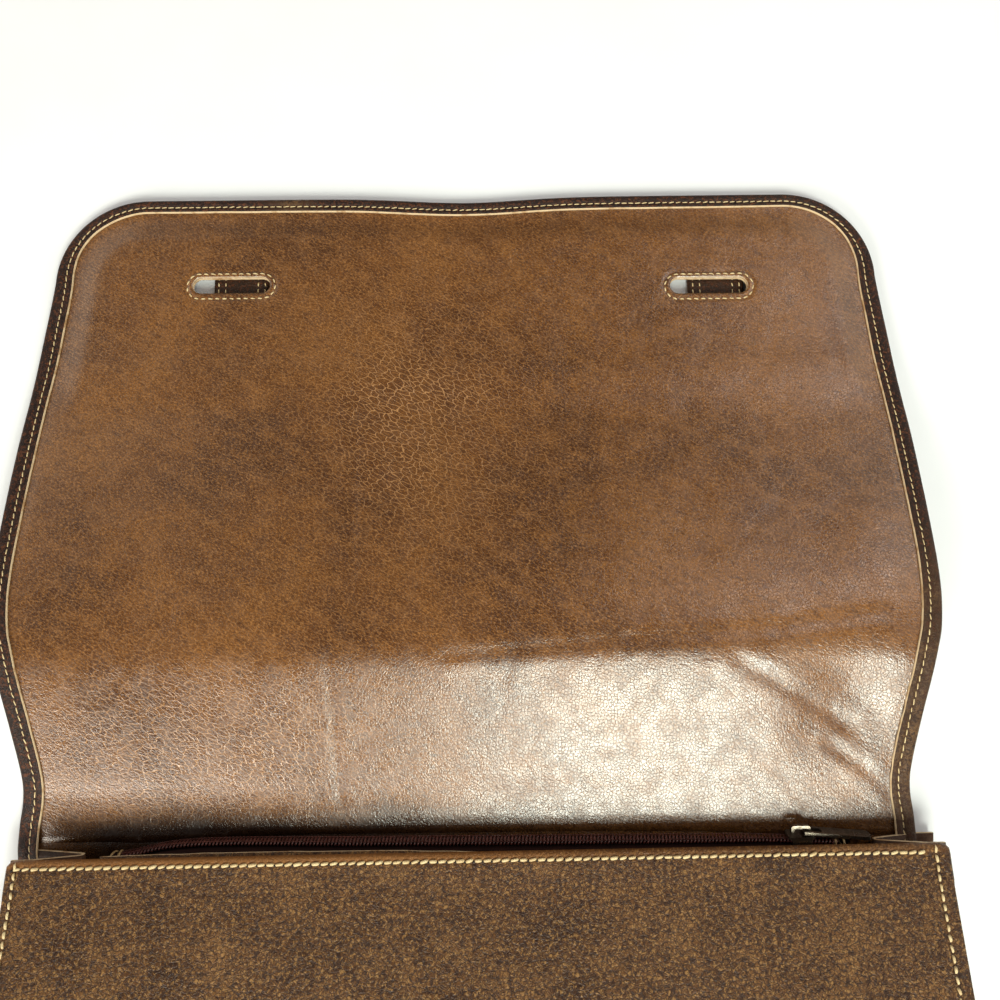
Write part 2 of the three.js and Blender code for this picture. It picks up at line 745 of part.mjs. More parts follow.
// Pull in its own frame: the pin on the origin along y, the tab towards +x
function zipPull() {
  const tabOutline = roundedRectangle(pullLength - pullWindow, pullWidth, pullCorner);
  const tab = new THREE.ExtrudeGeometry(tabOutline, { depth: pullThickness, bevelEnabled: false,
    curveSegments: 4 });
  tab.translate((pullLength + pullWindow) / 2, 0, -pullThickness / 2);
  const pin = new THREE.CylinderGeometry(pullPin, pullPin, pullWidth - 1, 10);
  let solid = toSolid(tab).add(toSolid(pin));
  for (const side of [-1, 1]) {
    const middle = side * (pullWidth - pullArm) / 2;
    const armHalf = pullArm / 2 - hair;
    const arm = boxBetween(-pullPin, pullWindow + pullCorner, middle - armHalf, middle + armHalf,
      -pullThickness / 2 + hair, pullThickness / 2 - hair);
    solid = solid.add(toSolid(arm));
  }
  return toGeometry(solid);
}

// Plain strap on the outer face of the flap, crossing behind a slot
function closingStrap() {
  const outline = roundedRectangle(strapWidth, strapLength, strapCorner);
  return new THREE.ExtrudeGeometry(outline, { depth: strapLeather, bevelEnabled: false, curveSegments: 4 });
}

// Staple that passes through a slot when the flap is shut: a loop on a plate, z out of the panel
function closingStaple() {
  const inner = strapWidth + 2 * strapClearance;
  const outer = inner + 2 * stapleWire;
  const top = stapleHeight + stapleWire;
  const loop = new THREE.Shape();
  loop.moveTo(-outer / 2, -staplePlate / 2);
  loop.lineTo(outer / 2, -staplePlate / 2);
  loop.absarc(outer / 2 - stapleBend, top - stapleBend, stapleBend, 0, Math.PI / 2);
  loop.absarc(-outer / 2 + stapleBend, top - stapleBend, stapleBend, Math.PI / 2, Math.PI);
  loop.closePath();
  const hole = new THREE.Path();
  hole.moveTo(-inner / 2, 0);
  hole.lineTo(inner / 2, 0);
  const bend = stapleInnerBend;
  hole.absarc(inner / 2 - bend, stapleHeight - bend, bend, 0, Math.PI / 2);
  hole.absarc(-inner / 2 + bend, stapleHeight - bend, bend, Math.PI / 2, Math.PI);
  hole.closePath();
  loop.holes.push(hole);
  const wire = new THREE.ExtrudeGeometry(loop, { depth: stapleWire, bevelEnabled: false, curveSegments: 4 });
  wire.translate(0, 0, -stapleWire / 2).rotateX(Math.PI / 2).translate(0, 0, staplePlate);
  const plateOutline = roundedRectangle(outer + 2 * staplePlateMargin, staplePlateDepth, staplePlateCorner);
  const plate = new THREE.ExtrudeGeometry(plateOutline, { depth: staplePlate, bevelEnabled: false,
    curveSegments: 4 });
  return toGeometry(toSolid(wire).add(toSolid(plate)));
}

// Materials
function finish(color, roughness, metalness = 0) {
  return new THREE.MeshStandardMaterial({ color, roughness, metalness });
}

const outerFinish = finish(0x6b4326, 0.6);
const liningFinish = finish(0x7d5232, 0.42);
const bindingFinish = finish(0x3a2114, 0.55);
const rimFinish = finish(0x96643c, 0.6);
const gussetFinish = finish(0x54341f, 0.65);
const tapeFinish = finish(0x1e0d0a, 0.9);
const coilFinish = finish(0x46282a, 0.45);
const metalFinish = finish(0x6b675c, 0.35, 0.9);

// Assembly
const documentCase = new THREE.Group();

function place(name, geometry, material, parent = documentCase) {
  const mesh = new THREE.Mesh(geometry, material);
  mesh.name = name;
  parent.add(mesh);
  return mesh;
}

place('back_and_flap', backAndFlap(), outerFinish);
place('flap_lining', flapLining(), liningFinish);
place('flap_binding', flapBinding(), bindingFinish);
place('front_panel', frontPanel(), rimFinish);
place('front_facing', frontFacing(), liningFinish);
place('gusset_left', sideGusset(-1), gussetFinish);
place('gusset_right', sideGusset(1), gussetFinish);
place('bottom_panel', bottomPanel(), outerFinish);
place('zip_tape_front', frontTape(), tapeFinish);
place('zip_tape_back', backTape(), tapeFinish);
place('zip_coil', closedCoil(), coilFinish);
place('zip_row_front', openCoil(-1), coilFinish);
place('zip_row_back', openCoil(1), coilFinish);

// Set a staple flat on the front panel, clear of the panel's swellings under its plate
function seatOnFront(staple, x, y) {
  const reachX = strapWidth / 2 + stapleWire + staplePlateMargin;
  const reachY = staplePlateDepth / 2;
  const slopeX = (frontTop(x + reachX, y) - frontTop(x - reachX, y)) / (2 * reachX);
  const slopeY = (frontTop(x, y + reachY) - frontTop(x, y - reachY)) / (2 * reachY);
  let swell = 0;
  for (const u of [-1, -0.5, 0, 0.5, 1]) {
    for (const v of [-1, 0, 1]) {
      const level = frontTop(x, y) + slopeX * u * reachX + slopeY * v * reachY;
      swell = Math.max(swell, frontTop(x + u * reachX, y + v * reachY) - level);
    }
  }
  staple.position.set(x, y, frontTop(x, y) + swell + 2 * seamGap);
  const normal = new THREE.Vector3(-slopeX, -slopeY, 1).normalize();
  staple.quaternion.setFromUnitVectors(new THREE.Vector3(0, 0, 1), normal);
}

const sides = { left: -1, right: 1 };
for (const [name, side] of Object.entries(sides)) {
  const slot = slotPlace(side);
  const strap = place(`strap_${name}`, closingStrap(), bindingFinish);
  strap.position.set(slot.x + strapShift, slot.y - strapBack, 0);

  const staple = place(`staple_${name}`, closingStaple(), metalFinish);
  seatOnFront(staple, slot.x, bodyDepth - slot.y);
}

const sliderPlace = zipAt(sliderX);
const sliderFrame = new THREE.Group();
sliderFrame.position.set(sliderX, ...sliderPlace.point(0, 0));
sliderFrame.rotation.x = sliderPlace.face - Math.PI / 2;
documentCase.add(sliderFrame);
place('zip_slider', zipSlider(), metalFinish, sliderFrame);
const pull = place('zip_pull', zipPull(), metalFinish, sliderFrame);
pull.position.set(pinAlong, 0, pinHeight);
pull.rotation.y = THREE.MathUtils.degToRad(pullRestAngle);

// The origin is the middle of the whole case on the surface it lies on
documentCase.position.set(-flapShift, (bodyHeight - flapLength) / 2, 0);

export default documentCase;
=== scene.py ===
import math
import bpy
import numpy as np
from mathutils import Matrix, Vector
from mathutils.geometry import delaunay_2d_cdt


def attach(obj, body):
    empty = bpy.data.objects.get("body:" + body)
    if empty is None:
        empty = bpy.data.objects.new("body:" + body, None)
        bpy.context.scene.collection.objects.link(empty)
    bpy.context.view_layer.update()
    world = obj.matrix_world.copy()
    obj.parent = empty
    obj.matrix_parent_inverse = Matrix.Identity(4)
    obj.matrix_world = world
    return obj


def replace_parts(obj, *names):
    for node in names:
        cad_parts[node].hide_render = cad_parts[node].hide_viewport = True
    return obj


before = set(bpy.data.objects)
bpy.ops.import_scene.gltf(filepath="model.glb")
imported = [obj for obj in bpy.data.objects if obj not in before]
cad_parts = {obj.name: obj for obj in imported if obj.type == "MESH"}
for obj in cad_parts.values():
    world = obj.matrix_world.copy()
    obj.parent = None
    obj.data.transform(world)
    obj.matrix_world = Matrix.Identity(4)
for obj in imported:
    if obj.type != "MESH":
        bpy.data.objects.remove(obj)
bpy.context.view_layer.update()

# A leather document case on its back, its flap folded open with the lining up. Sizes are in millimetres.
# They repeat the source's, apart from the sewing, the slots' length, the binding's ends and narrow
# part, the mouth's skew and the front leather's inset, which follow the photo more closely. y = 0 is
# the mouth: the body runs towards -Y, the flap towards +Y. The flap's functions measure x from the
# flap's middle, and the body's from the body's.
MM = 0.001

# Body
panel_width = 376.0
body_height = 275.0
body_depth = 75.0
mouth_depth = 20.0
panel_corner = 8.0
mouth_corner = 2.2
seam_flange = 6.8
front_sag = 5.0
bottom_bow = 2.0
bottom_fold = 1.6

# Flap
flap_length = 290.0
flap_half_width = 197.0
flap_corner = 41.0
flap_hump = 21.5
free_edge_dip = 2.6
binding_width = 8.5
binding_width_top = 6.6
binding_start = 3.0
binding_end = -4.2
binding_stitch_share = 0.60
kink_height = 0.35
flap_shift = -5.0
hinge_start = 6.0
hinge_rise = 8.0

# Thicknesses and gaps
outer_leather = 1.8
lining_leather = 1.1
binding_leather = 1.0
gusset_leather = 1.4
strap_leather = 3.0
facing_leather = 1.2
tape_cloth = 0.8
seam_gap = 0.35

# Rim of the front panel
rim_thickness = 3.8
rim_fold = 13.0
rim_fade = 3.0
rim_stitch = 3.5
rim_round = 1.2
front_inset = 1.3
side_stitch_left = 3.0
side_stitch_right = 5.0
bottom_stitch = 5.0
seam_ridge = 8.4
mouth_skew = 0.0095
facing_end = 12.0

# Gussets
gusset_half_mouth = 25.0
gusset_half_bottom = 34.8
gusset_fold = 1.3
gusset_slant = 2.4

# Slots and straps
slot_offset = 109.3
slot_along = 245.5
slot_shift = 2.2
slot_skew = 1.1
slot_length = 35.6
slot_width = 8.0
slot_stitch_length = 40.1
slot_stitch_width = 11.8
slot_stitch_shift = -0.7
strap_width = 25.4
strap_length = 60.0
strap_back = 11.0
strap_shift = 4.0
strap_corner = 6.0
strap_rows = (2.0, 5.2)

# Zip
zip_half = 147.0
tape_half = 152.0
zip_bulge = 2.0
tape_seam = 12.0
coil_half_width = 2.4
coil_height = 2.0
coil_pitch = 1.46
coil_wire = 0.36
coil_thread = 0.15
end_thread = 0.42
slider_x = 131.0
slider_half_length = 5.5
slider_half_width = 4.0
post_length = 3.0
post_half_width = 0.9

# Rounding of the metal's edges
zip_round = 0.22
staple_round = 0.5

# Sewing: pitch, stitch length, thickness and slant in degrees
binding_sewing = (3.15, 3.25, 0.52, 7)
slot_sewing = (3.2, 2.6, 0.7, -6)
strap_sewing = (3.1, 2.4, 0.6, 5)
rim_sewing = (3.6, 3.95, 1.3, 10)
rim_holes = (3.6, 1.3, 0.85, 35)
side_sewing = (3.5, 3.4, 1.15, 6)

# Worked out from the sizes above
panel_half = panel_width / 2
edge_inset = binding_leather + seam_gap
strap_lift = strap_leather + seam_gap - edge_inset
corner_start = flap_length - flap_corner
coil_floor = tape_cloth / 2 + seam_gap
post_start = slider_x + slider_half_length - seam_gap - post_length
to_row = (body_height - flap_length) / 2

# Sections of the flap: share of its length, share of its half width, share of its hump
flap_sections = np.array([
    (0.00, 0.942, 0.00), (0.035, 0.940, 0.025), (0.07, 0.932, 0.13), (0.10, 0.931, 0.27),
    (0.17, 0.949, 0.59), (0.235, 0.969, 0.88), (0.265, 0.978, 0.98), (0.30, 0.990, 1.00),
    (0.36, 0.999, 0.92), (0.45, 1.000, 0.69), (0.58, 0.995, 0.34), (0.68, 0.983, 0.12),
    (0.76, 0.973, 0.02), (0.875, 0.955, 0.00), (1.00, 0.950, 0.00),
])

# Dents: share across, share along, spread across, spread along, height
flap_dents = [
    (0.80, 0.20, 0.11, 0.08, -0.13), (-0.72, 0.30, 0.20, 0.12, -0.08), (0.15, 0.40, 0.35, 0.12, 0.07),
    (0.88, 0.42, 0.10, 0.10, 0.06), (-0.35, 0.62, 0.25, 0.12, 0.05),
]
front_dents = [
    (-0.45, 0.30, 0.22, 0.14, -0.45), (0.38, 0.58, 0.26, 0.16, -0.40), (0.70, 0.25, 0.16, 0.12, 0.35),
    (-0.15, 0.82, 0.30, 0.08, 0.30),
]

# Sections of the front panel: share of the body's height, share of its rise
front_sections = np.array([
    (0.00, 0.00), (0.06, 0.05), (0.20, 0.21), (0.40, 0.46), (0.60, 0.70), (0.80, 0.89), (0.92, 0.98),
    (1.00, 1.00),
])

# The zip from left to right: share across, share of its bulge, share of the mouth's depth, degrees
zip_sections = np.array([
    (-1.04, -1.90, 0.47, 12), (-0.97, -1.40, 0.47, 15), (-0.86, 0.20, 0.46, 18), (-0.72, 0.85, 0.46, 22),
    (-0.35, 0.85, 0.45, 38), (0.10, 0.88, 0.45, 45), (0.55, 0.76, 0.45, 38), (0.77, 0.55, 0.45, 26),
    (0.88, 0.30, 0.45, 18), (1.04, 0.10, 0.45, 18),
])

# Shallow lines pressed into the lining: from x, y to x, y, depth and spread
lining_lines = [
    (-50, 222, -47, 112, 0.22, 1.6), (-56, 84, -52, 18, 0.15, 1.8), (-8, 77, 68, 83, 0.22, 2.2),
    (68, 83, 128, 87, 0.35, 2.4), (128, 87, 172, 93, 0.30, 2.6), (112, 74, 158, 48, 0.28, 2.8),
    (150, 40, 176, 22, 0.25, 2.2), (-150, 60, -120, 96, 0.16, 2.4), (20, 150, 96, 168, 0.12, 3.0),
]

# Kinks of the binding on its right side: distance from the hinge, depth and spread
binding_kinks = [(52, 1.5, 2.6), (41, -0.8, 3.4), (29, 1.3, 2.2), (66, 0.7, 3.0), (17, 0.6, 2.4)]


# Curves and noise

def table_curve(rows, column, at):
    """Smooth curve through one column of a table."""
    at = np.asarray(at, float)
    x, y = rows[:, 0], rows[:, column]
    last = len(x) - 1
    before = np.maximum(np.arange(last + 1) - 1, 0)
    after = np.minimum(np.arange(last + 1) + 1, last)
    slope = (y[after] - y[before]) / (x[after] - x[before])
    inside = np.clip(at, x[0], x[-1])
    i = np.clip(np.searchsorted(x, inside) - 1, 0, last - 1)
    span = x[i + 1] - x[i]
    t = (inside - x[i]) / span
    t2, t3 = t * t, t * t * t
    return ((2 * t3 - 3 * t2 + 1) * y[i] + (t3 - 2 * t2 + t) * span * slope[i]
            + (3 * t2 - 2 * t3) * y[i + 1] + (t3 - t2) * span * slope[i + 1])


def smooth(share):
    t = np.clip(share, 0, 1)
    return t * t * (3 - 2 * t)


def bell(distance, spread):
    return np.exp(-(distance / spread) ** 2)


def dent_sum(dents, across, along):
    total = 0
    for at_x, at_y, spread_x, spread_y, height in dents:
        total = total + height * bell(np.hypot((across - at_x) / spread_x, (along - at_y) / spread_y), 1)
    return total


def value_noise(x, y, cell, seed):
    """Smooth seeded noise from -1 to 1 on a lattice of that cell size."""
    size = 128
    lattice = np.random.default_rng(seed).uniform(-1, 1, (size, size))
    gx, gy = np.asarray(x, float) / cell + 37.3, np.asarray(y, float) / cell + 11.7
    ix, iy = np.floor(gx).astype(int), np.floor(gy).astype(int)
    tx, ty = smooth(gx - ix), smooth(gy - iy)
    low = lattice[ix % size, iy % size] * (1 - tx) + lattice[(ix + 1) % size, iy % size] * tx
    high = lattice[ix % size, (iy + 1) % size] * (1 - tx) + lattice[(ix + 1) % size, (iy + 1) % size] * tx
    return low * (1 - ty) + high * ty


def crease_net(x, y, cell, seed):
    """Thin valleys where a noise crosses zero: 1 in a valley, 0 away from it."""
    bend = cell * 0.35
    noise = value_noise(x + bend * value_noise(x, y, cell * 0.6, seed + 1), y, cell, seed)
    return 1 - smooth(np.abs(noise) / 0.16)


def line_distance(x, y, x0, y0, x1, y1):
    dx, dy = x1 - x0, y1 - y0
    t = np.clip(((x - x0) * dx + (y - y0) * dy) / (dx * dx + dy * dy), 0, 1)
    return np.hypot(x - x0 - t * dx, y - y0 - t * dy)


# Flap

def flap_side(y):
    return flap_half_width * table_curve(flap_sections, 1, np.asarray(y, float) / flap_length)


corner_x = float(flap_side(corner_start)) - flap_corner


def edge_dip(x, y):
    middle = bell(x, 0.18 * flap_half_width)
    tilt = 0.1 * (1 - x / flap_half_width)
    return free_edge_dip * (middle + tilt) * smooth((y / flap_length - 0.8) / 0.2)


def inside_flap(x, y):
    """Distance of a point from the flap's outline."""
    out, up = np.abs(x) - corner_x, y - corner_start
    corner = flap_corner - np.hypot(out, up)
    straight = np.minimum(flap_side(y) - np.abs(x), flap_length - y)
    return np.where((out > 0) & (up > 0), corner, straight)


def leather_under(x, y):
    """Underside of the sheet that is the back panel and the flap's outer leather."""
    hinge = edge_inset * smooth((y + hinge_start) / hinge_rise)
    along = np.maximum(y, 0) / flap_length
    hump = flap_hump * np.maximum(table_curve(flap_sections, 2, along), 0)
    dents = flap_hump * dent_sum(flap_dents, x / flap_half_width, along) * smooth(along / 0.12)
    inside = inside_flap(x, y) - binding_width - 1
    straps = strap_lift * smooth((along - 0.62) / 0.1) * smooth(inside / 12)
    return hinge + np.where(y > 0, hump + dents * (1 - smooth((along - 0.6) / 0.15)) + straps, 0)


def slot_place(side):
    """Middle of a slot, from the flap's middle and the hinge."""
    return slot_shift + side * slot_offset, slot_along - side * slot_skew


def stadium_distance(x, y, length, width):
    """Distance outside a stadium centred on the origin."""
    return np.hypot(np.maximum(np.abs(x) - (length - width) / 2, 0), y) - width / 2


def slot_distance(x, y):
    places = [slot_place(side) for side in (-1, 1)]
    return np.minimum(*[stadium_distance(x - px, y - py, slot_length, slot_width) for px, py in places])


def lining_relief(x, y):
    """Low waves, folds and pressed lines of the lining, and the sewn edges round the slots."""
    right = smooth((x + 60) / 90)
    relief = 0.20 * value_noise(x, y, 34, 3) + (0.07 + 0.04 * right) * value_noise(x, y, 13, 4)
    relief = relief + 0.02 * value_noise(x, y, 5.5, 5) - (0.05 + 0.05 * right) * crease_net(x, y * 0.8, 21, 6)
    for x0, y0, x1, y1, depth, spread in lining_lines:
        away = line_distance(x, y, x0, y0, x1, y1)
        relief = relief - depth * bell(away, spread) + 0.6 * depth * bell(away - 2.2 * spread, 1.4 * spread)
    slot = slot_distance(x, y)
    sewn = bell(slot - 2.5, 1.0)
    relief = relief - 0.35 * sewn + 0.25 * bell(slot - 0.9, 0.8) - 0.25 * bell(slot, 0.35)
    inner = inside_flap(x, y) - binding_width
    return relief * smooth((inner + 1.5) / 6) - 0.15 * bell(inner, 1.5)


def lining_top(x, y):
    return leather_under(x, y) + outer_leather + seam_gap + lining_leather


def lining_surface(x, y):
    return lining_top(x, y) + lining_relief(x, y)


# Body

def front_top(x, y):
    along = -np.minimum(y, 0) / body_height
    across = x / panel_half
    rise = (body_depth - mouth_depth) * table_curve(front_sections, 1, along)
    sag = front_sag * (1 - across * across) * np.sin(np.pi * along)
    dents = front_sag * dent_sum(front_dents, across, along) * smooth(along / 0.12)
    still = 1 - smooth((along - 0.9) / 0.1)
    return mouth_depth + rise - sag + dents * still * smooth((1 - np.abs(across)) / 0.15)


def front_thickness(y):
    return outer_leather + (rim_thickness - outer_leather) * smooth((y + rim_fold + rim_fade) / rim_fade)


def front_under(x, y):
    return front_top(x, y) - front_thickness(y)


def front_relief(x, y):
    """Leather waves, the rim's sewn channel and fold step, and the ridge along the side seams."""
    edge = panel_half - np.abs(x)
    sewn = np.where(x < 0, side_stitch_left, side_stitch_right)
    calm = smooth(edge / 6) * smooth((-y - 3) / 4)
    relief = 0.35 * value_noise(x, y, 42, 11) + 0.16 * value_noise(x, y, 15, 12)
    relief = relief + 0.07 * value_noise(x, y, 6, 13) - 0.15 * crease_net(x, y, 24, 14)
    relief = calm * (relief - 0.06 * crease_net(x, y, 9, 16))
    rim = -0.42 * bell(y + rim_stitch, 0.9) + 0.22 * bell(y + 1.7, 1.0) - 0.25 * bell(y + rim_fold, 1.1)
    seam = 0.55 * bell(edge - front_inset - seam_ridge, 1.1) - 0.45 * bell(edge - front_inset - sewn, 0.9)
    inside = smooth((edge - 3) / 3)
    return relief + rim * inside + seam * smooth((-y - 0.5) / 3) - 0.3 * (1 - smooth(edge / 1.2))


def front_surface(x, y):
    return front_top(x, y) + front_relief(x, y)


def mouth_shift(x, y):
    """The body lies slightly askew: its mouth is nearer the flap's free edge on the right."""
    return mouth_skew * x * smooth((y + 120) / 120)


def mouth_dip(x, y):
    return -mouth_shift(x, y)


def facing_top(x, y):
    return front_top(x, np.minimum(y, 0)) - rim_thickness - seam_gap


class ZipPlace:
    """Place and direction of the zip at x, from the body's middle."""

    def __init__(self, x):
        across = np.asarray(x, float) / zip_half
        self.face = np.radians(table_curve(zip_sections, 3, across))
        self.y = zip_bulge * table_curve(zip_sections, 1, across)
        self.z = mouth_depth * table_curve(zip_sections, 2, across)

    def point(self, along, up):
        """(y, z) at a distance along the tapes towards the back and up out of the zip's face."""
        return (self.y + np.sin(self.face) * along + np.cos(self.face) * up,
                self.z - np.cos(self.face) * along + np.sin(self.face) * up)


# Materials

def srgb(red, green, blue):
    """Linear colour from the 0 to 255 values of a screen colour."""
    def linear(value):
        share = value / 255
        return share / 12.92 if share <= 0.04045 else ((share + 0.055) / 1.055) ** 2.4
    return linear(red), linear(green), linear(blue), 1


class Shader:
    """A material's node tree, with short calls for the nodes that the materials here use. Cells are in
    millimetres and tuples are screen colours. The textures of a flat one are two-dimensional, which
    renders faster."""

    def __init__(self, name, flat=False):
        self.dimensions = "2D" if flat else "3D"
        self.material = bpy.data.materials.new(name)
        self.material.use_nodes = True
        self.nodes = self.material.node_tree.nodes
        self.surface = self.nodes["Principled BSDF"]
        self.place = self.nodes.new("ShaderNodeTexCoord").outputs["Object"]

    def put(self, socket, value):
        if isinstance(value, bpy.types.NodeSocket):
            self.material.node_tree.links.new(value, socket)
        else:
            socket.default_value = value

    def set(self, **values):
        for name, value in values.items():
            self.put(self.surface.inputs[name.replace("_", " ")], value)
        return self.material

    def node(self, kind, inputs, **settings):
        """A new node with these settings, its inputs given values or links."""
        node = self.nodes.new("ShaderNode" + kind)
        for name, value in settings.items():
            setattr(node, name, value)
        for key, value in inputs.items():
            self.put(node.inputs[key], value)
        return node

    def noise(self, cell, detail=4.0, roughness=0.55, distortion=0.0, place=None, output="Fac"):
        inputs = {"Vector": place or self.place, "Scale": 1 / (cell * MM), "Detail": detail,
                  "Roughness": roughness, "Distortion": distortion}
        return self.node("TexNoise", inputs, noise_dimensions=self.dimensions).outputs[output]

    def valleys(self, cell, place):
        """Distance from the borders of irregular cells."""
        node = self.node("TexVoronoi", {"Vector": place, "Scale": 1 / (cell * MM)},
                         feature="DISTANCE_TO_EDGE", voronoi_dimensions=self.dimensions)
        return node.outputs["Distance"]

    def wave(self, direction, scale, distortion=0.0):
        inputs = {"Vector": self.place, "Scale": scale, "Distortion": distortion}
        return self.node("TexWave", inputs, bands_direction=direction).outputs["Fac"]

    def warped(self, cell, amount, place=None):
        """The place, moved about by a noise."""
        place = place or self.place
        shift = self.vector("SUBTRACT", self.noise(cell, 1.0, 0.5, 0.0, place, "Color"), (0.5, 0.5, 0.5))
        return self.vector("ADD", place, self.vector("MULTIPLY", shift, (amount * MM,) * 3))

    def stretched(self, turn, scale):
        """The place, turned about Z and then divided by the scale."""
        inputs = {"Vector": self.place, "Rotation": (0, 0, math.radians(turn)), "Scale": scale}
        return self.node("Mapping", inputs, vector_type="TEXTURE").outputs["Vector"]

    def vector(self, operation, a, b):
        return self.node("VectorMath", {0: a, 1: b}, operation=operation).outputs[0]

    def math(self, operation, a, b):
        return self.node("Math", {0: a, 1: b}, operation=operation).outputs[0]

    def add(self, a, b):
        return self.math("ADD", a, b)

    def times(self, a, b):
        return self.math("MULTIPLY", a, b)

    def spread(self, value, low, high, out_low=0.0, out_high=1.0):
        """The value, smoothly mapped from one range to the other."""
        inputs = {"Value": value, "From Min": low, "From Max": high, "To Min": out_low, "To Max": out_high}
        return self.node("MapRange", inputs, interpolation_type="SMOOTHSTEP").outputs[0]

    def ramp(self, value, *stops):
        """Colours by value. A stop is its position and its colour."""
        node = self.node("ValToRGB", {"Fac": value})
        elements = node.color_ramp.elements
        while len(elements) < len(stops):
            elements.new(0.5)
        for element, (position, *colour) in zip(elements, stops):
            element.position = position
            element.color = srgb(*colour)
        return node.outputs["Color"]

    def mix(self, factor, a, b):
        """Colour a, turning to b as the factor grows to 1."""
        a, b = (srgb(*colour) if isinstance(colour, tuple) else colour for colour in (a, b))
        return self.node("Mix", {"Factor": factor, 6: a, 7: b}, data_type="RGBA").outputs[2]

    def tinted(self, base, colour, value, low, high, out_low=0.0, out_high=1.0):
        """The base, mixed with a colour by a value's spread."""
        return self.mix(self.spread(value, low, high, out_low, out_high), base, colour)

    def mark(self, name):
        """A value that the mesh's points hold."""
        return self.node("Attribute", {}, attribute_name=name).outputs["Fac"]

    def bump(self, height, distance, strength=1.0):
        inputs = {"Height": height, "Distance": distance * MM, "Strength": strength}
        return self.node("Bump", inputs).outputs["Normal"]


def grain_height(shader, cell):
    """Pebbles parted by fine valleys, with smaller grain on them."""
    valley = shader.spread(shader.valleys(cell, shader.warped(cell * 3, cell * 0.9)), 0.0, 0.22)
    fine = shader.spread(shader.noise(cell * 0.42, 1), 0.34, 0.50)
    both = shader.add(shader.times(valley, 0.75), shader.times(fine, 0.35))
    return shader.add(both, shader.times(shader.noise(cell * 0.8, 2), 0.5))


def lining_material():
    """Glossy pebbled leather, mottled, with pale veins where it is marked as heavily grained, and with
    painted shade in the fold above the zip.
    """
    shader = Shader("lining", flat=True)
    drawn = shader.stretched(-31, (1.0, 0.42, 1.0))
    broad = shader.noise(60, 4, 0.6)
    base = shader.ramp(broad, (0.34, 76, 44, 17), (0.50, 99, 60, 25), (0.66, 119, 76, 35))
    cloud = shader.tinted(base, (132, 87, 44), shader.noise(12, 4, 0.65, 0.0, drawn), 0.44, 0.62, 0.0, 0.55)
    deep = shader.tinted(cloud, (58, 30, 11), shader.noise(6, 4, 0.7, 0.0, drawn), 0.50, 0.64, 0.0, 0.6)
    speckle = shader.noise(1.5, 3, 0.75, 0.0, drawn)
    fleck = shader.tinted(deep, (152, 106, 60), speckle, 0.52, 0.66, 0.0, 0.75)
    grain = grain_height(shader, 1.35)
    valley = shader.spread(grain, 0.45, 1.05, 1.0, 0.0)
    pits = shader.spread(speckle, 0.36, 0.48, 0.6, 0.0)
    shaded = shader.mix(shader.math("MAXIMUM", shader.times(valley, 0.6), pits), fleck, (40, 19, 7))
    heavy = shader.mark("heavy")
    veins = shader.valleys(4.4, shader.warped(7, 4.0, drawn))
    net = shader.times(shader.spread(veins, 0.0, 0.075, 1.0, 0.0), heavy)
    dim = shader.mix(shader.times(heavy, 0.4), shaded, (62, 33, 12))
    veined = shader.mix(net, dim, (176, 130, 84))
    # Painted shade: the lining turns dark in the fold above the zip.
    crease_shaded = shader.mix(shader.mark("crease_shade"), veined, (22, 9, 4))
    satin = shader.spread(shader.noise(9, 3, 0.6), 0.3, 0.75, 0.20, 0.31)
    pebbles = shader.times(shader.noise(3.4, 2, 0.55, 0.0, drawn), 0.09)
    height = shader.math("SUBTRACT", shader.add(shader.times(grain, 0.034), pebbles), shader.times(net, 0.05))
    return shader.set(Base_Color=crease_shaded, Roughness=shader.add(satin, shader.times(valley, 0.10)),
                      Normal=shader.bump(height, 1.0), Specular_IOR_Level=0.72)


def outer_material(name, flat):
    """Worn outer leather: finely crackled, with pale rubbed flecks and dark specks, and a painted highlight
    along the front panel's rim.
    """
    shader = Shader(name, flat)
    broad = shader.noise(26, 5, 0.7)
    base = shader.ramp(broad, (0.32, 52, 29, 11), (0.50, 78, 48, 20), (0.70, 102, 68, 33))
    rubbed = shader.tinted(base, (142, 106, 62), shader.noise(1.5, 3, 0.75, 0.4), 0.49, 0.62, 0.0, 0.7)
    dark = shader.tinted(rubbed, (36, 17, 8), shader.noise(2.0, 4, 0.75, 0.6), 0.49, 0.60, 0.0, 0.85)
    crack = shader.spread(shader.valleys(1.5, shader.warped(2.2, 2.4)), 0.0, 0.20)
    colour = shader.tinted(dark, (36, 18, 8), crack, 0.0, 1.0, 0.6, 0.0)
    # Painted highlight: the rim's top strip is painted lighter where its points are marked.
    lit = shader.mix(shader.mark("rim"), colour, (134, 88, 44))
    height = shader.add(crack, shader.times(shader.noise(0.9, 3), 0.8))
    return shader.set(Base_Color=lit, Roughness=shader.spread(broad, 0.3, 0.7, 0.40, 0.56),
                      Normal=shader.bump(height, 0.16, 0.9), Specular_IOR_Level=0.3)


def binding_material():
    """Dark distressed leather with rubbed brown speckles, paler on the right side and at worn spots."""
    shader = Shader("binding")
    fine = shader.noise(1.4, 3, 0.75, 0.3)
    broad = shader.noise(4.5, 5, 0.7)
    dark = shader.ramp(broad, (0.3, 16, 6, 3), (0.55, 32, 13, 6), (0.8, 50, 23, 11))
    speckle = shader.tinted(dark, (92, 50, 25), fine, 0.50, 0.64, 0.0, 0.8)
    tan = shader.ramp(broad, (0.3, 60, 38, 20), (0.6, 96, 68, 40), (0.85, 132, 100, 66))
    tan_worn = shader.tinted(tan, (30, 15, 8), fine, 0.46, 0.58, 0.0, 0.9)
    height = shader.add(shader.noise(1.1, 4, 0.6), shader.times(grain_height(shader, 1.0), 0.5))
    return shader.set(Base_Color=shader.mix(shader.mark("worn"), speckle, tan_worn),
                      Roughness=shader.spread(fine, 0.3, 0.7, 0.36, 0.55),
                      Normal=shader.bump(height, 0.3, 0.9), Specular_IOR_Level=0.26)


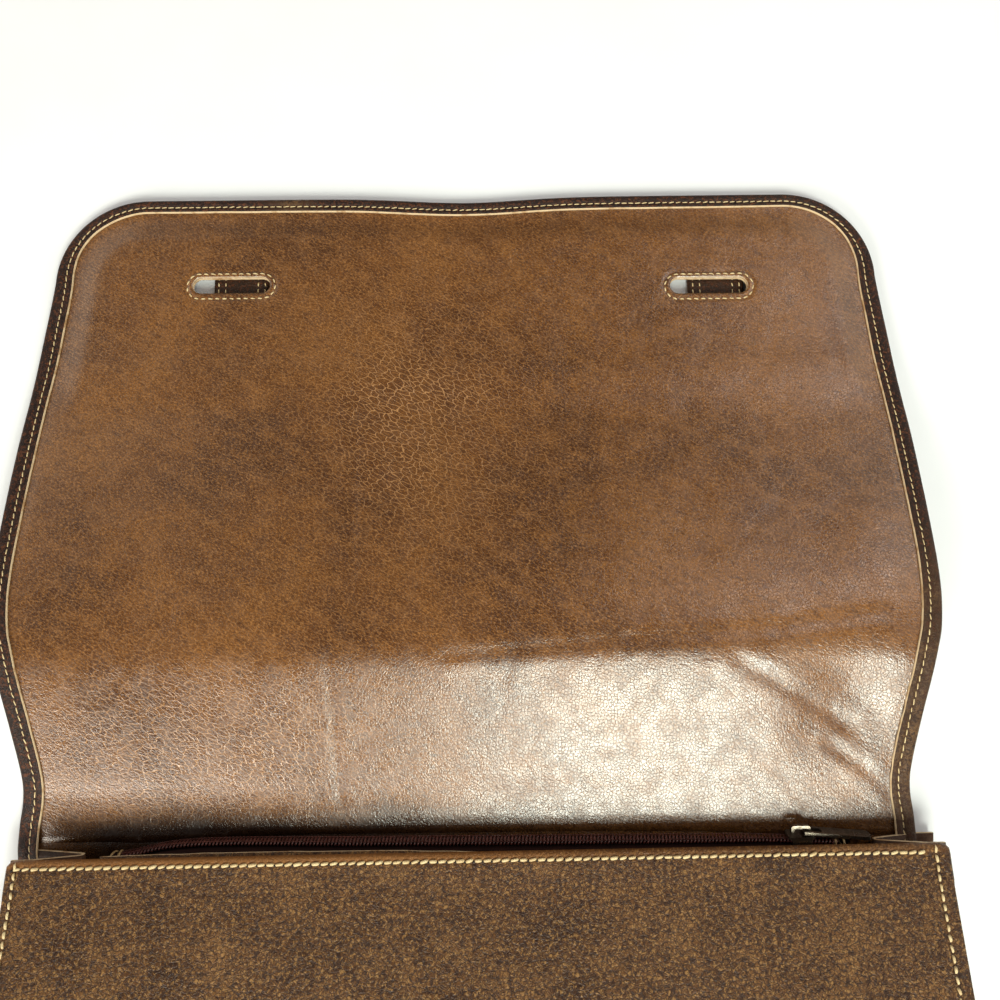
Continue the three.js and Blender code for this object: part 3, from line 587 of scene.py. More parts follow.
def raw_edge_material(name, pale, shade):
    """Cut edge of leather: fibrous, pale, with darker dye at places."""
    shader = Shader(name)
    stained = shader.tinted(pale, shade, shader.noise(5, 4, 0.6), 0.46, 0.72)
    fibre = shader.noise(0.5, 3, 0.7)
    return shader.set(Base_Color=shader.tinted(stained, shade, fibre, 0.5, 0.75, 0.0, 0.4), Roughness=0.75,
                      Normal=shader.bump(fibre, 0.12, 0.8))


def gusset_material():
    shader = Shader("gusset")
    broad = shader.noise(22, 5, 0.6)
    base = shader.ramp(broad, (0.3, 40, 21, 10), (0.55, 64, 38, 19), (0.8, 92, 59, 33))
    grain = grain_height(shader, 1.3)
    return shader.set(Base_Color=shader.tinted(base, (20, 9, 5), grain, 0.4, 0.9, 0.4, 0.0),
                      Roughness=shader.spread(broad, 0.3, 0.7, 0.45, 0.62),
                      Normal=shader.bump(grain, 0.14, 0.8), Specular_IOR_Level=0.25)


def thread_material(name, colour, shade):
    """Waxed thread: fine twisted strands."""
    shader = Shader(name)
    twist = shader.wave("DIAGONAL", 620.0, 1.2)
    tint = shader.tinted(colour, shade, shader.noise(2.5, 3), 0.35, 0.75, 0.0, 0.6)
    return shader.set(Base_Color=shader.tinted(tint, shade, twist, 0.0, 0.5, 0.45, 0.0), Roughness=0.6,
                      Normal=shader.bump(twist, 0.08, 0.7))


def tape_material():
    """Herringbone-like weave of the zip's tapes."""
    shader = Shader("zip_tape")
    weave = shader.times(shader.wave("X", 900.0), shader.wave("Y", 700.0))
    base = shader.ramp(shader.noise(8, 3), (0.3, 18, 6, 5), (0.7, 32, 12, 9))
    return shader.set(Base_Color=shader.tinted(base, (56, 26, 19), weave, 0.2, 0.8, 0.0, 0.35),
                      Roughness=0.85, Normal=shader.bump(weave, 0.12, 0.7), Specular_IOR_Level=0.12)


def coil_material():
    shader = Shader("zip_coil")
    tone = shader.noise(2.2, 3, 0.6)
    return shader.set(Base_Color=shader.ramp(tone, (0.3, 56, 23, 20), (0.7, 88, 44, 37)),
                      Roughness=shader.spread(tone, 0.3, 0.7, 0.24, 0.40),
                      Normal=shader.bump(tone, 0.05, 0.4), Specular_IOR_Level=0.5)


def metal_material():
    """Dark plated metal, rubbed lighter in places."""
    shader = Shader("metal")
    rub = shader.noise(2.4, 5, 0.65)
    colour = shader.ramp(rub, (0.3, 84, 78, 70), (0.55, 122, 114, 102), (0.75, 168, 158, 140))
    return shader.set(Base_Color=colour, Roughness=shader.spread(rub, 0.3, 0.7, 0.42, 0.24), Metallic=1.0,
                      Normal=shader.bump(shader.noise(0.7, 3), 0.03, 0.5))


def floor_material():
    shader = Shader("floor")
    colour = shader.ramp(shader.noise(60, 3), (0.3, 225.93, 227.24, 231.12), (0.7, 229.83, 231.12, 234.9))
    return shader.set(Base_Color=colour, Roughness=0.6)


finish_of = {
    "lining": lining_material(),
    "outer": outer_material("outer", True),
    "outer_wall": outer_material("outer_wall", False),
    "binding": binding_material(),
    "raw": raw_edge_material("raw_edge", (192, 168, 134), (150, 114, 74)),
    "raw_dark": raw_edge_material("raw_edge_dark", (80, 48, 26), (42, 22, 12)),
    "gusset": gusset_material(),
    "thread": thread_material("thread", (204, 184, 142), (160, 128, 82)),
    "thread_dark": thread_material("thread_dark", (164, 138, 96), (92, 62, 34)),
    # The stitch holes' dark colour is painted shade.
    "hole": raw_edge_material("stitch_hole", (30, 13, 6), (16, 7, 4)),
    "tape": tape_material(),
    "coil": coil_material(),
    "metal": metal_material(),
}


# Mesh building

def row_points(points, shift):
    """Points in millimetres from the source's frame to metres in the row frame."""
    return (np.asarray(points, float) + (shift, to_row, 0)) * MM


def make_piece(name, points, faces, finishes, shift=0.0, body="case", face_finish=None, marks=None):
    """A piece that rides on a body. shift is 0 for the flap and -flap_shift for the body's pieces."""
    mesh = bpy.data.meshes.new(name)
    mesh.from_pydata(row_points(points, shift).tolist(), [], [tuple(face) for face in faces])
    for finish in finishes:
        mesh.materials.append(finish_of[finish])
    if face_finish is not None:
        mesh.polygons.foreach_set("material_index", np.asarray(face_finish, np.int32))
    for mark, values in (marks or {}).items():
        attribute = mesh.attributes.new(mark, "FLOAT", "POINT")
        attribute.data.foreach_set("value", np.asarray(values, np.float32))
    mesh.polygons.foreach_set("use_smooth", np.ones(len(mesh.polygons), bool))
    mesh.update()
    piece = bpy.data.objects.new(name, mesh)
    bpy.context.scene.collection.objects.link(piece)
    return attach(piece, body)


def loop_normals(loop):
    """Outward normals of a closed loop of (x, y) that has the material on its left."""
    ahead, behind = np.roll(loop, -1, axis=0), np.roll(loop, 1, axis=0)
    run = ahead - behind
    return np.stack([run[:, 1], -run[:, 0]], 1) / np.hypot(run[:, 0], run[:, 1])[:, None]


def lifted_sheet(name, loops, grid, top, under, finishes, shift=0.0, edge_bulge=0.12, dip=None,
                 marks=None, hole=None, kinds_of=(0, 0, 1)):
    """A sheet over a plan: loops are its outline and holes with the material on their left, grid its
    inner points, and hole(x, y) is negative inside its holes. Its edge walls bulge by a share of the
    thickness, and dip(x, y) moves its points towards -Y. kinds_of numbers the finishes of its top, its
    underside and each loop's walls, and marks names functions of its points."""
    counts = [len(loop) for loop in loops]
    starts = np.cumsum([0] + counts)
    plan = np.concatenate([*loops, grid])
    edges = []
    for start, count in zip(starts, counts):
        edges += [(start + i, start + (i + 1) % count) for i in range(count)]
    flat, _, triangles, _, _, _ = delaunay_2d_cdt([Vector(p) for p in plan], edges, [], 2, 1e-5)
    flat = np.array([tuple(p) for p in flat])
    x, y = flat[:, 0], flat[:, 1]
    back = dip(x, y) if dip else 0
    upper = np.stack([x, y - back, top(x, y)], 1)
    lower = np.stack([x, y - back, under(x, y)], 1)
    corner = np.array([tuple(t)[:3] for t in triangles])
    if hole is not None:
        centre = flat[corner].mean(1)
        corner = corner[hole(centre[:, 0], centre[:, 1]) > 0]
    a, b, c = flat[corner[:, 0]], flat[corner[:, 1]], flat[corner[:, 2]]
    turned = (b[:, 0] - a[:, 0]) * (c[:, 1] - a[:, 1]) < (b[:, 1] - a[:, 1]) * (c[:, 0] - a[:, 0])
    corner[turned] = corner[turned][:, ::-1]
    count = len(flat)
    faces = [*corner.tolist(), *(corner[:, ::-1] + count).tolist()]
    kinds = [kinds_of[0]] * len(corner) + [kinds_of[1]] * len(corner)
    points = [upper, lower]
    total = 2 * count
    for number, (loop, start) in enumerate(zip(loops, starts)):
        wall = kinds_of[min(2 + number, len(kinds_of) - 1)]
        normals = loop_normals(np.asarray(loop))
        ring = np.arange(start, start + len(loop))
        tall = (upper[ring, 2] - lower[ring, 2])[:, None]
        bulge = np.hstack([normals * tall * edge_bulge, np.zeros((len(loop), 1))])
        rows = [ring]
        for turn in (0.18, 0.5, 0.82):
            middle = upper[ring] * (1 - turn) + lower[ring] * turn
            points.append(middle + bulge * math.sin(math.pi * turn))
            rows.append(np.arange(total, total + len(loop)))
            total += len(loop)
        rows.append(ring + count)
        for first, second in zip(rows, rows[1:]):
            for i in range(len(loop)):
                j = (i + 1) % len(loop)
                faces.append((first[i], second[i], second[j], first[j]))
                kinds.append(wall)
    points = np.concatenate(points)
    values = {mark: value(points) for mark, value in (marks or {}).items()}
    return make_piece(name, points, faces, finishes, shift, face_finish=kinds, marks=values)


def swept(name, rings, finishes, shift=0.0, edge_columns=(), marks=None):
    """A closed body through rings of equally many points. The faces after the columns named in
    edge_columns, and the ends, take the last finish. A ring is one side and then the other back."""
    rings = np.asarray(rings, float)
    n, m = rings.shape[:2]
    faces, kinds = [], []
    last = len(finishes) - 1
    for i in range(n - 1):
        for j in range(m):
            k = (j + 1) % m
            faces.append((i * m + j, (i + 1) * m + j, (i + 1) * m + k, i * m + k))
            kinds.append(last if j in edge_columns else 0)
    end = (n - 1) * m
    for j in range(m // 2 - 1):
        across = m - 1 - j
        faces.append((j, j + 1, across - 1, across))
        faces.append((end + j, end + across, end + across - 1, end + j + 1))
        kinds += [last, last]
    points = rings.reshape(-1, 3)
    a, b, c, d = (points[[face[i] for face in faces]] for i in range(4))
    volume = np.einsum("ij,ij->", a, np.cross(b, c)) + np.einsum("ij,ij->", a, np.cross(c, d))
    if volume < 0:
        faces = [face[::-1] for face in faces]
    return make_piece(name, points, faces, finishes, shift, face_finish=kinds, marks=marks)


def tube_faces(start, rings, around):
    """Faces of a tube whose points are numbered from start, both ends closed."""
    faces = []
    for i in range(rings - 1):
        low, high = start + i * around, start + (i + 1) * around
        for j in range(around):
            k = (j + 1) % around
            faces.append((low + j, low + k, high + k, high + j))
    end = start + (rings - 1) * around
    return [*faces, tuple(reversed(range(start, start + around))), tuple(range(end, end + around))]


def tubes(name, paths, radius, finishes, shift=0.0, sides=6, body="case"):
    """Round wires along lists of points."""
    points, faces, total = [], [], 0
    for path in paths:
        path = np.asarray(path, float)
        ahead = np.gradient(path, axis=0)
        ahead /= np.linalg.norm(ahead, axis=1)[:, None]
        helper = np.where(np.abs(ahead[:, :1]) > 0.9, (0.0, 0.0, 1.0), (1.0, 0.0, 0.0))
        side = np.cross(ahead, helper)
        side /= np.linalg.norm(side, axis=1)[:, None]
        up = np.cross(side, ahead)
        angle = np.arange(sides) * 2 * math.pi / sides
        ring = side[:, None] * np.cos(angle)[None, :, None] + up[:, None] * np.sin(angle)[None, :, None]
        size = np.full(len(path), radius)
        size[0] = size[-1] = radius * 0.4
        points.append((path[:, None] + ring * size[:, None, None]).reshape(-1, 3))
        faces += tube_faces(total, len(path), sides)
        total += len(path) * sides
    return make_piece(name, np.concatenate(points), faces, finishes, shift, body)


def stitches(name, rows, shift=0.0, finish="thread"):
    """Sewn stitches. Each row is (places, directions, normals, length, thickness, slant in degrees)."""
    seed = sum(ord(letter) for letter in name)
    chance = np.random.default_rng(seed)
    around, steps = 8, 7
    u = np.linspace(-1, 1, steps)
    angle = np.arange(around) * 2 * math.pi / around
    points, faces, total = [], [], 0
    for places, directions, normals, length, thickness, slant in rows:
        for place, along, up in zip(places, directions, normals):
            along = along / np.linalg.norm(along)
            up = up / np.linalg.norm(up)
            side = np.cross(up, along)
            turn = math.radians(slant + chance.normal(0, 5))
            way = along * math.cos(turn) + side * math.sin(turn)
            side = np.cross(up, way)
            half = length / 2 * chance.uniform(0.9, 1.06)
            thick = thickness / 2 * chance.uniform(0.88, 1.12)
            fat = thick * np.sqrt(np.maximum(1 - np.abs(u) ** 2.6, 0.03))
            arch = thick * (1.0 - 1.9 * u ** 4)
            centre = place + way * (u * half)[:, None] + up * arch[:, None]
            ring = side * np.cos(angle)[:, None] + up * 0.85 * np.sin(angle)[:, None]
            points.append((centre[:, None] + ring[None] * fat[:, None, None]).reshape(-1, 3))
            faces += tube_faces(total, steps, around)
            total += steps * around
    return make_piece(name, np.concatenate(points), faces, [finish], shift)


def along_path(path, pitch, start=0.5):
    """Evenly spaced points on a list of points, with their directions."""
    path = np.asarray(path, float)
    steps = np.linalg.norm(np.diff(path, axis=0), axis=1)
    length = np.concatenate([[0], np.cumsum(steps)])
    count = max(int(round(length[-1] / pitch)), 1)
    at = (np.arange(count) + start) * length[-1] / count
    def between(where):
        return np.stack([np.interp(where, length, path[:, k]) for k in range(path.shape[1])], 1)
    reach = pitch * 0.2
    return between(at), between(np.minimum(at + reach, length[-1])) - between(np.maximum(at - reach, 0))


def on_surface(height, plan, ways, lift=0.0):
    """Places, directions and normals on a height function for flat points and ways."""
    x, y = plan[:, 0], plan[:, 1]
    z = height(x, y)
    step = 0.4
    slope_x = (height(x + step, y) - height(x - step, y)) / (2 * step)
    slope_y = (height(x, y + step) - height(x, y - step)) / (2 * step)
    normals = np.stack([-slope_x, -slope_y, np.ones_like(x)], 1)
    directions = np.stack([ways[:, 0], ways[:, 1], slope_x * ways[:, 0] + slope_y * ways[:, 1]], 1)
    return np.stack([x, y, z + lift], 1), directions, normals


def grid_points(low_x, high_x, low_y, high_y, spacing, keep):
    """Points of a triangular grid where keep(x, y) is true."""
    rows = np.arange(low_y, high_y, spacing * 0.87)
    points = []
    for i, y in enumerate(rows):
        x = np.arange(low_x + (i % 2) * spacing / 2, high_x, spacing)
        points.append(np.stack([x, np.full_like(x, y)], 1))
    points = np.concatenate(points)
    return points[keep(points[:, 0], points[:, 1])]


def stadium(centre, length, width, spacing):
    """Loop of a stadium, counter-clockwise."""
    radius = width / 2
    reach = (length - width) / 2
    straight = np.linspace(-reach, reach, int(2 * reach / spacing) + 1)
    arc = np.linspace(-math.pi / 2, math.pi / 2, int(math.pi * radius / spacing) + 2)[1:-1]
    right = np.stack([reach + radius * np.cos(arc), radius * np.sin(arc)], 1)
    low = np.stack([straight, np.full_like(straight, -radius)], 1)
    return np.concatenate([low, right, -low, -right]) + centre


# Flap pieces

def flap_half_outline(inset, start, spacing):
    """Right half of the flap's outline from its hinge end to the middle of the free edge."""
    y = np.arange(start, corner_start, spacing)
    side = np.stack([flap_side(y) - inset, y], 1)
    radius = flap_corner - inset
    turn = np.linspace(0, math.pi / 2, int(radius * math.pi / 2 / spacing) + 1)
    corner = np.stack([corner_x + radius * np.cos(turn), corner_start + radius * np.sin(turn)], 1)
    x = np.arange(corner_x - spacing, spacing / 2, -spacing)
    edge = np.stack([x, np.full_like(x, flap_length - inset)], 1)
    return np.concatenate([side, corner, edge])


def mirrored(half):
    return (half * (-1, 1))[::-1]


# The lining's edge along the zip: place from left to right, distance from the hinge
lining_edge = np.array([
    (-200, 2.8), (-150, 2.8), (-135, 2.4), (-115, 3.2), (-100, 4.2), (-60, 5.2), (40, 5.4), (90, 5.0),
    (115, 4.2), (135, 3.4), (152, 3.0), (200, 2.8),
])


def lining_start(x):
    return np.interp(x, lining_edge[:, 0], lining_edge[:, 1])


def lining_loop(spacing):
    half = flap_half_outline(edge_inset, lining_edge[0, 1], spacing)
    right = half[0, 0]
    x = np.arange(-right + spacing, right - spacing / 2, spacing)
    return np.concatenate([half, mirrored(half), np.stack([x, lining_start(x)], 1)])


def slot_loops(spacing):
    return [stadium(slot_place(side), slot_length, slot_width, spacing)[::-1] for side in (-1, 1)]


def heavy_grain(points):
    """How heavily grained the lining is: two patches left of its middle."""
    upper = bell(np.hypot((points[:, 0] + 20) / 36, (points[:, 1] - 178) / 44), 1)
    lower = bell(np.hypot((points[:, 0] + 108) / 62, (points[:, 1] - 34) / 34), 1)
    patchy = 0.75 + 0.4 * value_noise(points[:, 0], points[:, 1], 16, 9)
    return np.clip((0.85 * upper + 0.8 * lower) * patchy + 0.2, 0, 1)


def painted_crease_shade(points):
    """Painted shade: how dark the fold above the zip is painted, most on the left."""
    x, y = points[:, 0], points[:, 1]
    band = smooth((20 - y + 2.5 * value_noise(x, y, 15, 10)) / 14)
    across = 0.42 + 0.52 * smooth((60 - x) / 130) * smooth((x + 178) / 30)
    return band * across


def build_lining():
    spacing = 2.1
    def keep(x, y):
        on_leather = (inside_flap(x, y) > edge_inset + 1.4) & (y > lining_start(x) + 1.4)
        return on_leather & (slot_distance(x, y) > 0.9)
    coarse = grid_points(-200, 200, 2, flap_length, spacing, keep)
    def near_slot(x, y):
        return keep(x, y) & (slot_distance(x, y) < 7)
    fine = grid_points(-200, 200, slot_along - 20, slot_along + 20, 0.8, near_slot)
    far = slot_distance(coarse[:, 0], coarse[:, 1]) >= 7
    grid = np.concatenate([coarse[far], fine])
    def sunk(x, y):
        return 1 - smooth((y - lining_start(x)) / 9)
    def under(x, y):
        return leather_under(x, y) + outer_leather + seam_gap * (1 - 0.9 * sunk(x, y))
    def top(x, y):
        full = lining_leather + lining_relief(x, y) - 0.1
        return under(x, y) + 0.1 + full * (1 - sunk(x, y))
    loops = [lining_loop(spacing), *slot_loops(0.8)]
    # Its second mark is painted shade for the fold above the zip.
    piece = lifted_sheet("lining_sheet", loops, grid, top, under, ["lining", "raw"],
                         dip=edge_dip, marks={"heavy": heavy_grain, "crease_shade": painted_crease_shade},
                         hole=slot_distance, kinds_of=(0, 0, 0, 1, 1))
    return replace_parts(piece, "flap_lining")


def build_outer():
    """The back panel and the flap's outer leather, one sheet that is dyed as the lining inside."""
    spacing = 3.2
    flap = flap_half_outline(edge_inset, binding_start, spacing)
    y = np.arange(-hinge_start, -body_height + panel_corner, -spacing)
    turn = np.linspace(0, math.pi / 2, 6)
    corner = np.stack([panel_half - panel_corner + panel_corner * np.cos(turn),
                       -body_height + panel_corner - panel_corner * np.sin(turn)], 1)
    x = np.arange(panel_half - panel_corner - spacing, spacing / 2, -spacing)
    panel = np.concatenate([np.stack([np.full_like(y, panel_half), y], 1), corner,
                            np.stack([x, np.full_like(x, -body_height)], 1)])
    middle = (-flap_shift, 0)
    left_panel = mirrored(panel[::-1])[::-1] + middle
    outline = np.concatenate([(panel + middle)[::-1], flap, mirrored(flap), left_panel])
    def keep(x, y):
        on_flap = (y > 0) & (inside_flap(x, y) > edge_inset + 2) & (slot_distance(x, y) > 1.5)
        on_back = (y <= 0) & (y > -body_height + 2) & (np.abs(x + flap_shift) < panel_half - 4)
        return on_flap | on_back
    grid = grid_points(-200, 200, -body_height, flap_length, spacing, keep)
    def top(x, y):
        return leather_under(x, y) + outer_leather
    def bottom(x, y):
        wave = 0.12 * value_noise(x, y, 14, 21) - 0.10 * crease_net(x, y, 17, 22)
        inner = smooth((inside_flap(x, np.maximum(y, 1)) - 9) / 5)
        return np.maximum(leather_under(x, y) + wave * inner, 0.0)
    # The top, dyed as the lining, takes the same painted shade above the zip.
    piece = lifted_sheet("outer_sheet", [outline, *slot_loops(0.9)], grid, top, bottom,
                         ["outer", "lining", "raw"], dip=edge_dip,
                         marks={"crease_shade": painted_crease_shade}, hole=slot_distance, kinds_of=(1, 0, 2))
    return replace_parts(piece, "back_and_flap")


def binding_stations(spacing=1.15):
    half = flap_half_outline(0, binding_end, 0.5)
    path = np.concatenate([half, mirrored(half)])
    places, ways = along_path(path, spacing, 0.5)
    places[0], places[-1] = path[0], path[-1]
    ways /= np.linalg.norm(ways, axis=1)[:, None]
    return places, np.stack([-ways[:, 1], ways[:, 0]], 1)


def binding_width_at(places):
    """The binding is narrower along the free edge."""
    top = smooth((places[:, 1] - corner_start + 10) / flap_corner)
    run = value_noise(places[:, 0], places[:, 1], 23, 31)
    return binding_width + (binding_width_top - binding_width) * top + 0.3 * run


def kink_at(places):
    """How deep the binding's kinks are at each station: all on the right side."""
    depth = 0
    for along, strength, spread in binding_kinks:
        depth = depth + strength * bell(places[:, 1] - along, spread)
    return np.where(places[:, 0] > 0, depth, 0)


def binding_ring(station, inward, width, sewn, kink, ripple):
    """One section of the binding, from its raw edge on the lining, over the top and round the flap's
    edge to the underside, and back inside. Its points are inward distances and levels."""
    over = [(width, 0.08), (width - 0.08, 0.62), (width - 0.45, 0.98), (width - 1.1, 1.12),
            ((width + sewn) / 2, 1.22), (sewn + 0.85, 1.10), (sewn + 0.35, 0.80), (sewn, 0.70),
            (sewn - 0.35, 0.80), (sewn - 0.85, 1.12), (sewn * 0.52, 1.34), (1.25, 1.22), (0.62, 0.92)]
    edge = [(0.20, 0.72), (0.02, 0.30), (0.02, -0.30), (0.25, -0.72)]
    below = [(0.75, -1.0), (width * 0.5, -1.0), (width, -1.0)]
    inside = [(width, -0.06), (1.3, -0.06), (1.3, 0.06), (width, 0.02)]
    lift = ripple - kink_height * kink
    ring = []
    def add(distance, height):
        x, y = station + inward * distance
        ring.append((x, y - edge_dip(x, y), height(x, y)))
    for distance, level in over:
        raised = level + lift * smooth(distance / 2)
        add(distance - 0.25 * kink * (distance / width), lambda x, y: lining_top(x, y) + raised)
    for distance, share in edge:
        def between(x, y):
            high, deep = lining_top(x, y) + 0.95, leather_under(x, y) - 0.9
            return max((high + deep) / 2 + share * (high - deep) / 2, 0.02)
        add(distance, between)
    for distance, level in below:
        add(distance, lambda x, y: max(leather_under(x, y) + level, 0))
    for distance, level in inside:
        add(distance, lambda x, y: (leather_under(x, y) if level < 0 else lining_top(x, y)) + level)
    return ring


def build_binding():
    places, inward = binding_stations()
    width = binding_width_at(places)
    sewn = binding_stitch_share * width
    kink = kink_at(places)
    ripple = 0.10 * value_noise(places[:, 0], places[:, 1], 6, 33)
    rings = np.array([binding_ring(*values) for values in zip(places, inward, width, sewn, kink, ripple)])
    x, y = rings[:, :, 0].ravel(), rings[:, :, 1].ravel()
    right = smooth((x - 150) / 20) * smooth((150 - y) / 90)
    spots = bell(np.hypot(x + 81, (y - 289) * 1.5), 9) * 0.9
    worn = np.clip(right * (0.75 + 0.35 * value_noise(x, y, 12, 35)) + spots, 0, 1)
    piece = swept("binding_strip", rings, ["binding", "raw"], edge_columns=(0, 1),
                  marks={"worn": worn})
    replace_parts(piece, "flap_binding")
    build_binding_stitches(places + inward * sewn[:, None], ripple - kink_height * kink)


def build_binding_stitches(path, lift):
    """The row along the binding, on a path that is lifted as the binding is."""
    spots, turns = along_path(path, binding_sewing[0])
    place, direction, normal = on_surface(lining_top, spots, turns, 0.55)
    nearest = np.argmin(np.hypot(*(path[:, None] - spots[None]).transpose(2, 0, 1)), 0)
    place[:, 2] += lift[nearest]
    place[:, 1] -= edge_dip(place[:, 0], place[:, 1])
    stitches("binding_stitches", [(place, direction, normal, *binding_sewing[1:])])


def build_slot_stitches():
    rows = []
    for side in (-1, 1):
        loop = stadium((0, slot_stitch_shift), slot_stitch_length, slot_stitch_width, 0.5) + slot_place(side)
        spots, turns = along_path(np.concatenate([loop, loop[:1]]), slot_sewing[0])
        place, direction, normal = on_surface(lining_surface, spots, turns, -0.15)
        place[:, 1] -= edge_dip(place[:, 0], place[:, 1])
        rows.append((place, direction, normal, *slot_sewing[1:]))
    stitches("slot_stitches", rows)


def corner_loop(corners, spacing):
    """Loop through quarter circles, each given by its centre, radius and first angle in degrees."""
    loop = []
    for x, y, radius, start in corners:
        for angle in np.radians(start + 15 * np.arange(7)):
            loop.append((x + radius * math.cos(angle), y + radius * math.sin(angle)))
    return resampled(np.array(loop), spacing)


def resampled(loop, spacing):
    """A closed loop with evenly spaced points."""
    closed = np.concatenate([loop, loop[:1]])
    return along_path(closed, spacing, 0.0)[0]


def build_strap(name, side):
    """A strap on the flap's outer face, sewn along both edges."""
    slot_x, slot_y = slot_place(side)
    middle_x, middle_y = slot_x + strap_shift, slot_y - strap_back
    half_x, half_y = strap_width / 2, strap_length / 2
    in_x, in_y = half_x - strap_corner, half_y - strap_corner
    def rounded(x, y):
        out = np.maximum(np.abs(x - middle_x) - in_x, 0)
        up = np.maximum(np.abs(y - middle_y) - in_y, 0)
        return strap_corner - np.hypot(out, up)
    def keep(x, y):
        return rounded(x, y) > 1
    def top(x, y):
        edge = half_x - np.abs(x - middle_x)
        sewn = -0.22 * (bell(edge - strap_rows[0], 0.7) + bell(edge - strap_rows[1], 0.7))
        rolled = -0.5 * bell(rounded(x, y), 0.7)
        return strap_leather - 0.15 + sewn + rolled + 0.08 * value_noise(x, y, 5, 41)
    def under(x, y):
        return np.zeros_like(x)
    def worn(points):
        return np.full(len(points), 0.15)
    corners = [(middle_x + sx * in_x, middle_y + sy * in_y, strap_corner, start)
               for sx, sy, start in ((1, -1, -90), (1, 1, 0), (-1, 1, 90), (-1, -1, 180))]
    grid = grid_points(middle_x - half_x, middle_x + half_x, middle_y - half_y, middle_y + half_y, 1.5, keep)
    piece = lifted_sheet(f"{name}_leather", [corner_loop(corners, 1.6)], grid, top, under,
                         ["binding", "raw_dark"], marks={"worn": worn})
    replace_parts(piece, name)
    rows = []
    for inset in strap_rows:
        for edge in (-1, 1):
            x = middle_x + edge * (half_x - inset)
            line = np.array([(x, middle_y - half_y + 3), (x, middle_y + half_y - 3)])
            spots, turns = along_path(line, strap_sewing[0])
            rows.append((*on_surface(top, spots, turns, -0.1), *strap_sewing[1:]))
    stitches(f"{name}_stitches", rows)


# Body pieces

def panel_loop(half, spacing, top_y):
    """Outline of the front panel: round corners, larger at the bottom than at the mouth."""
    x, y = half - panel_corner, -body_height + panel_corner
    mouth_x, mouth_y = half - mouth_corner, top_y - mouth_corner
    return corner_loop([(-x, y, panel_corner, 180), (x, y, panel_corner, 270),
                        (mouth_x, mouth_y, mouth_corner, 0), (-mouth_x, mouth_y, mouth_corner, 90)], spacing)


def build_front_panel():
    spacing = 2.5
    half = panel_half - front_inset
    def keep(x, y):
        out = np.maximum(np.abs(x) - half + panel_corner, 0)
        down = np.maximum(-y - body_height + panel_corner, 0)
        return (np.abs(x) < half - 1.6) & (y < -rim_round - 0.8) & (np.hypot(out, down) < panel_corner - 1.6)
    coarse = grid_points(-panel_half, panel_half, -body_height, -12, spacing, keep)
    fine = grid_points(-panel_half, panel_half, -11.6, -rim_round, 1.1, keep)
    def top(x, y):
        return front_surface(x, y) - 0.55 * bell(y + rim_round, 0.8)
    def under(x, y):
        return front_under(x, y) + 0.55 * bell(y + rim_round, 0.8)
    # Painted highlight along the rim's top strip, strongest on the left.
    def rim(points):
        along = smooth((points[:, 1] - mouth_skew * points[:, 0] + rim_stitch + 0.8) / 1.2)
        return along * (0.75 - 0.5 * smooth((points[:, 0] + 60) / 160))
    piece = lifted_sheet("front_leather", [panel_loop(half, 1.6, -rim_round)],
                         np.concatenate([coarse, fine]), top, under, ["outer"],
                         -flap_shift, 0.35, dip=mouth_dip, marks={"rim": rim}, kinds_of=(0, 0, 0))
    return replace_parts(piece, "front_panel")


def front_row(path, pitch, start=0.5):
    """Places, directions and normals along a row on the front panel."""
    spots, turns = along_path(np.array(path), pitch, start)
    place, direction, normal = on_surface(front_surface, spots, turns, 0.05)
    place[:, 1] += mouth_shift(place[:, 0], place[:, 1])
    return place, direction, normal


def build_front_stitches():
    """The thick row along the rim with dark tubes of painted shade for its holes, and the rows that join the
    panel all round.
    """
    half = panel_half - front_inset
    left, right = -half + side_stitch_left, half - side_stitch_right
    bottom_y = -body_height + bottom_stitch
    rim_path = [(-half + 1.8, -rim_stitch), (half - 9, -rim_stitch)]
    sides = [[(x, -0.8), (x, bottom_y + 3), (x + turn, bottom_y)] for x, turn in ((left, 3), (right, -3))]
    bottom = [(left + 3, bottom_y), (right - 3, bottom_y)]
    rows = [(*front_row(rim_path, rim_sewing[0]), *rim_sewing[1:])]
    rows += [(*front_row(path, side_sewing[0]), *side_sewing[1:]) for path in (*sides, bottom)]
    stitches("front_stitches", rows, -flap_shift)
    # Dark tubes beside the rim's stitches: painted shade in the stitch holes.
    place, direction, normal = front_row(rim_path, rim_holes[0], 0.0)
    holes = (place + (0, -0.45, 0), direction, normal, *rim_holes[1:])
    stitches("front_stitch_holes", [holes], -flap_shift, "hole")


# Edge of the facing past the rim: place from left to right, distance. It hides under the rim on the
# right.
facing_edge = np.array([
    (-152, 0.2), (-120, 0.6), (-75, 0.7), (-30, 0.2), (0, -0.7), (20, -1.3), (152, -1.4),
])


def build_facing():
    """Leather strip under the rim, thinned towards its raw edge."""
    def edge(x):
        return np.interp(x, facing_edge[:, 0], facing_edge[:, 1]) + 0.2 * value_noise(x, 0 * x, 9, 51)
    x = np.arange(-tape_half, tape_half + 0.1, 1.5)
    front = np.stack([x, edge(x)], 1)[::-1]
    back = np.stack([x, np.full_like(x, -facing_end)], 1)
    def keep(x, y):
        return (np.abs(x) < tape_half - 1) & (y > -facing_end + 1) & (y < edge(x) - 0.6)
    def top(x, y):
        return facing_top(x, y) - 0.25 * bell(y - edge(x), 0.6)
    def under(x, y):
        return facing_top(x, y) - facing_leather + 0.35 * bell(y - edge(x), 1.2)
    grid = grid_points(-tape_half, tape_half, -facing_end, 3, 1.4, keep)
    piece = lifted_sheet("facing_leather", [np.concatenate([back, front])], grid, top, under,
                         ["outer", "raw"], -flap_shift, 0.3, dip=mouth_dip)
    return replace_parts(piece, "front_facing")


